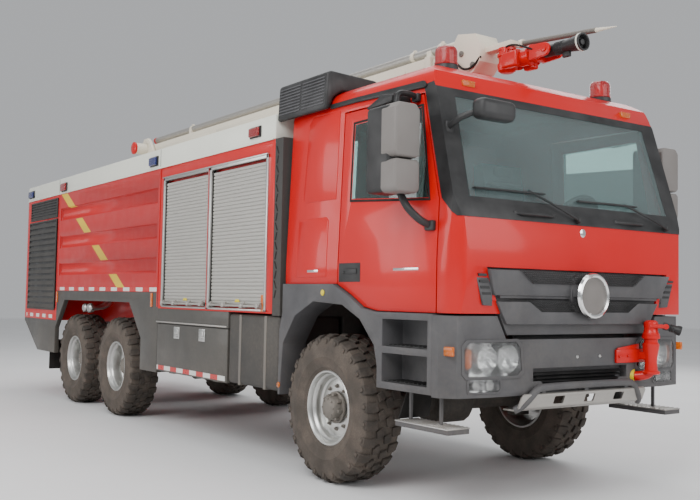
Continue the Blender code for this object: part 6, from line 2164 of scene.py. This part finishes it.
@dataclass
class Underside:
    """Bull bar, skid plate, hanging steps, flaps and tank fittings."""

    def skid(self) -> None:
        """Dark bull bar over a pale plate with three square holes."""
        low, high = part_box("skid_plate")
        y0 = low[1]
        section = [(y0 + 0.030, 0.806), (y0 + 0.020, 0.796), (y0 + 0.055, 0.705), (y0 + 0.100, 0.682), (high[1] - 0.002, 0.681), (high[1] - 0.002, 0.695), (y0 + 0.106, 0.697), (y0 + 0.068, 0.716)]
        plate = Bench.prism(section, -0.66, 0.66, Axis.X)
        for x in (-0.28, 0.04, 0.36):
            hole = Bench.block((x - 0.052, y0 - 0.1, 0.722), (x + 0.052, y0 + 0.11, 0.778), 0.010)
            Bench.carve(plate, hole)
        corner = [(-0.70, 0.60), (-0.70, 0.74), (-0.595, 0.85), (-0.75, 0.90), (-0.80, 0.60)]
        for side in (1, -1):
            Bench.carve(plate, Bench.prism([(x * side, z) for x, z in corner], y0 - 0.2, y0 + 0.3, Axis.Y))
        Bench.rounded(plate, 0.004, 2)
        Yard.set(plate, "skid_plate_skin", "truck", WORN_SILVER, "silver", ["skid_plate"])
        points = [(-0.66, y0 + 0.10, 0.690), (-0.62, y0 + 0.055, 0.715), (-0.52, y0 + 0.028, 0.830), (-0.46, y0 + 0.028, 0.846), (0.0, y0 + 0.028, 0.848), (0.46, y0 + 0.028, 0.846), (0.52, y0 + 0.028, 0.830), (0.62, y0 + 0.055, 0.715), (0.66, y0 + 0.10, 0.690)]
        bar = Bench.tube(points, 0.026, 5)
        stays = [Bench.block((x - 0.02, y0 + 0.03, 0.80), (x + 0.02, high[1] - 0.02, 0.845), 0.006) for x in (-0.44, 0.0, 0.44)]
        Yard.set(Bench.join(bar, *stays), "bull_bar", "truck", GREY, "grey_plastic")

    def steps(self) -> None:
        """Tread plates on the hanging steps and in the step pockets, and the mud flaps."""
        tread = Bench.block((-1.235, aft(-1.452), 0.588), (-1.035, aft(-0.898), 0.596), 0.003)
        bars = [Bench.block((-1.228, aft(-1.44) + i * 0.042, 0.594), (-1.042, aft(-1.44) + i * 0.042 + 0.010, 0.601), 0.002) for i in range(13)]
        Yard.pair(Bench.join(tread, *bars), "hanging_step_{}", "truck", TREAD_PLATE, "silver")
        pads = []
        for z in (0.852, 1.102):
            pads.append(Bench.block((-1.235, aft(-1.245), z), (-1.07, aft(-0.77), z + 0.006), 0.002))
            pads += [Bench.block((-1.228, aft(-1.235) + i * 0.046, z + 0.004), (-1.08, aft(-1.235) + i * 0.046 + 0.014, z + 0.012), 0.002) for i in range(10)]
        Yard.pair(Bench.join(*pads), "step_pads_{}", "truck", BLACK, "black_plastic")
        flap = Bench.prism([(-1.20, 0.60), (-0.93, 0.60), (-0.88, 0.80), (-1.12, 0.80)], aft(-0.905), aft(-0.892), Axis.Y, 0.003)
        Yard.pair(flap, "step_flap_{}", "truck", SEAL, "black_plastic")
        rear_flap = Bench.block((-1.21, aft(7.00), 0.36), (-0.89, aft(7.012), 0.75), 0.004)
        bolts = [Bench.drum((x, aft(6.999), 0.70), (x, aft(6.990), 0.70), 0.010, sides=6) for x in (-1.16, -1.05, -0.94)]
        Yard.pair(Bench.join(rear_flap, *bolts), "mud_flap_{}", "truck", SEAL, "black_plastic")

    def radiator(self) -> None:
        """Finned core behind the opening under the grille."""
        y = aft(-1.40)
        core = Bench.block((-0.60, y, 1.06), (0.60, y + 0.05, 1.335), 0.006)
        fins = [Bench.block((-0.58, y - 0.012, 1.08 + i * 0.02), (0.58, y + 0.01, 1.088 + i * 0.02), 0.0015, 1) for i in range(12)]
        Yard.set(Bench.join(core, *fins), "radiator", "truck", BLACK, "black_plastic")

    def dots(self) -> None:
        """Small round lamps on the arch trims."""
        for word, y, z, finish in (("upper", 0.01, 1.470, YELLOW), ("lower", 0.652, 0.70, AMBER)):
            x = -1.25
            dot = Bench.lathe([(0.0, 0.0), (0.022, 0.0), (0.024, 0.006), (0.016, 0.012), (0.0, 0.014)], (x + 0.001, aft(y), z), (-1, 0, 0), steps=28)
            Yard.pair(dot, f"arch_dot_{word}_{{}}", "truck", finish, "red")

    def tank(self) -> None:
        """Straps of the fuel tank."""
        low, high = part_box("fuel_tank")
        straps = []
        for share in (0.25, 0.75):
            y = low[1] + (high[1] - low[1]) * share
            straps.append(Bench.block((low[0] - 0.004, y - 0.02, low[2] - 0.004), (low[0] + 0.05, y + 0.02, high[2] - 0.006), 0.002))
        Yard.pair(Bench.join(*straps), "tank_straps_{}", "truck", HUB_STEEL, "silver")

    def build(self) -> None:
        """Models the low gear."""
        self.skid()
        self.steps()
        self.dots()
        self.radiator()
        self.tank()


@dataclass
class Interior:
    """Padded seats."""

    def cushion(self, low: Point, high: Point, name: str) -> None:
        """Padded seat part: swollen cloth.

        Args:
            low: Lowest corner.
            high: Highest corner.
            name: Name of the piece.
        """
        start = Bench.block([value + 0.012 for value in low], [value - 0.012 for value in high], 0.03, 3)
        piece = self.swell(start)
        Yard.set(piece, name, "truck", SEAT_CLOTH, "fabric", angle=60.0)

    def swell(self, piece: Piece) -> Piece:
        Bench.apply(piece, "REMESH", mode="VOXEL", voxel_size=0.022)
        rest = [vertex.co.copy() for vertex in piece.data.vertices]
        Bench.pick(piece)
        cloth = piece.modifiers.new("cloth", "CLOTH")
        cloth.settings.use_pressure = True
        cloth.settings.uniform_pressure_force = 4.0
        cloth.settings.effector_weights.gravity = 0.0
        cloth.point_cache.frame_start, cloth.point_cache.frame_end = 1, 20
        for step in range(1, 21):
            bpy.context.scene.frame_set(step)
        bpy.ops.object.modifier_apply(modifier=cloth.name)
        bpy.context.scene.frame_set(1)
        for vertex, start in zip(piece.data.vertices, rest):
            move = vertex.co - start
            if move.length > 0.024:
                vertex.co = start + move.normalized() * 0.024
        return Bench.apply(piece, "SUBSURF", levels=1, render_levels=1)

    def build(self) -> None:
        """Models the seats in the room that their frame node holds."""
        low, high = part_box("cab_seats")
        floor, top = low[2], high[2]
        front, rear = low[1], high[1]
        parts = (
            ("base", 0.12, 0.42, front + 0.02, rear - 0.12),
            ("back", 0.42, 0.86, rear - 0.19, rear - 0.02),
        )
        for side, centre in (("right", -0.55), ("left", 0.55)):
            for word, bottom, peak, y0, y1 in parts:
                lo = (centre - 0.235, y0, floor + (top - floor) * bottom)
                hi = (centre + 0.235, y1, floor + (top - floor) * peak)
                self.cushion(lo, hi, f"seat_{word}_{side}")
            head_lo = (centre - 0.13, rear - 0.15, floor + (top - floor) * 0.87)
            self.cushion(head_lo, (centre + 0.13, rear - 0.04, top - 0.005), f"seat_head_{side}")


# ---- studio -------------------------------------------------------------------------
@dataclass
class Studio:
    """Pale floor, soft lights and the camera."""

    eye: Point = (-5.167, aft(-5.909), 1.441)
    look: Point = (0.57506, 0.81648, 0.05154)
    roll: float = 1.011
    lens: float = 46.71
    floor_half: float = 40.0

    def floor(self) -> None:
        """Pale floor, with a soft sheen and faint mottling."""
        Bench.pick()
        bpy.ops.mesh.primitive_plane_add(size=2 * self.floor_half, location=(0, 0, 0))
        floor = bpy.context.object
        floor.name = "floor"
        graph = Graph("floor_material")
        shade = graph.span(graph.noise(0.6, 3.0), 0.3, 0.7)
        graph.set(Base_Color=graph.blend(shade, (0.80, 0.80, 0.80), (0.84, 0.84, 0.84)))
        graph.set(Roughness=0.75)
        floor.data.materials.append(graph.material)

    def light(self, name: str, place: Point, target: Point, size: Flat, power: float) -> None:
        """Soft rectangular light that faces a target."""
        lamp = bpy.data.lights.new(name, "AREA")
        lamp.shape = "RECTANGLE"
        lamp.size, lamp.size_y = size
        lamp.energy = power
        made = bpy.data.objects.new(name, lamp)
        made.location = place
        run = Vector(target) - Vector(place)
        made.rotation_euler = run.to_track_quat("-Z", "Y").to_euler()
        bpy.context.collection.objects.link(made)

    def sky(self) -> None:
        """Even pale light from all round."""
        world = bpy.data.worlds.new("studio")
        world.use_nodes = True
        back = world.node_tree.nodes["Background"]
        back.inputs["Color"].default_value = (0.95, 0.97, 1.0, 1.0)
        back.inputs["Strength"].default_value = 0.5
        bpy.context.scene.world = world

    def camera(self) -> None:
        """Camera ahead of the truck, off its right corner."""
        data = bpy.data.cameras.new("camera")
        data.lens = self.lens
        data.sensor_width = 36.0
        data.sensor_fit = "HORIZONTAL"
        data.clip_end = 200.0
        made = bpy.data.objects.new("camera", data)
        look = Vector(self.look).normalized()
        right = look.cross(Vector((0, 0, 1))).normalized()
        up = right.cross(look)
        turn = math.radians(self.roll)
        across = right * math.cos(turn) + up * math.sin(turn)
        rise = up * math.cos(turn) - right * math.sin(turn)
        frame_axes = Matrix((across, rise, -look)).transposed().to_4x4()
        made.matrix_world = Matrix.Translation(self.eye) @ frame_axes
        bpy.context.collection.objects.link(made)
        bpy.context.scene.camera = made

    def build(self) -> None:
        """Sets up the studio."""
        self.floor()
        self.sky()
        self.light("key", (-9.0, -7.5, 9.0), (0, -1.5, 1.5), (7.0, 7.0), 1100.0)
        self.light("fill", (2.0, -13.0, 5.0), (0, -3.0, 1.5), (8.0, 5.0), 500.0)
        self.light("side", (-12.0, 5.0, 4.0), (0, 2.0, 1.5), (8.0, 5.0), 500.0)
        self.light("top", (1.0, 1.0, 12.0), (0, 0, 1.5), (9.0, 12.0), 700.0)
        self.light("far", (10.0, 4.0, 7.0), (0, 1.0, 1.5), (8.0, 6.0), 450.0)
        self.camera()


PARTS = (Wheels(), Shell(), Shutters(), Sides(), Rear(), CabBody(), CabFront(), Mirrors(), CabTop(), Boom(), BumperMonitor(), Underside(), Interior(), Studio(), )


def main() -> None:
    """Builds the truck's looks piece by piece."""
    logging.basicConfig(level=logging.INFO, format="%(message)s")
    for part in PARTS:
        LOG.info("building %s", type(part).__name__)
        part.build()
    LOG.info("%d pieces", Yard.count)


if __name__ == "__main__":
    main()
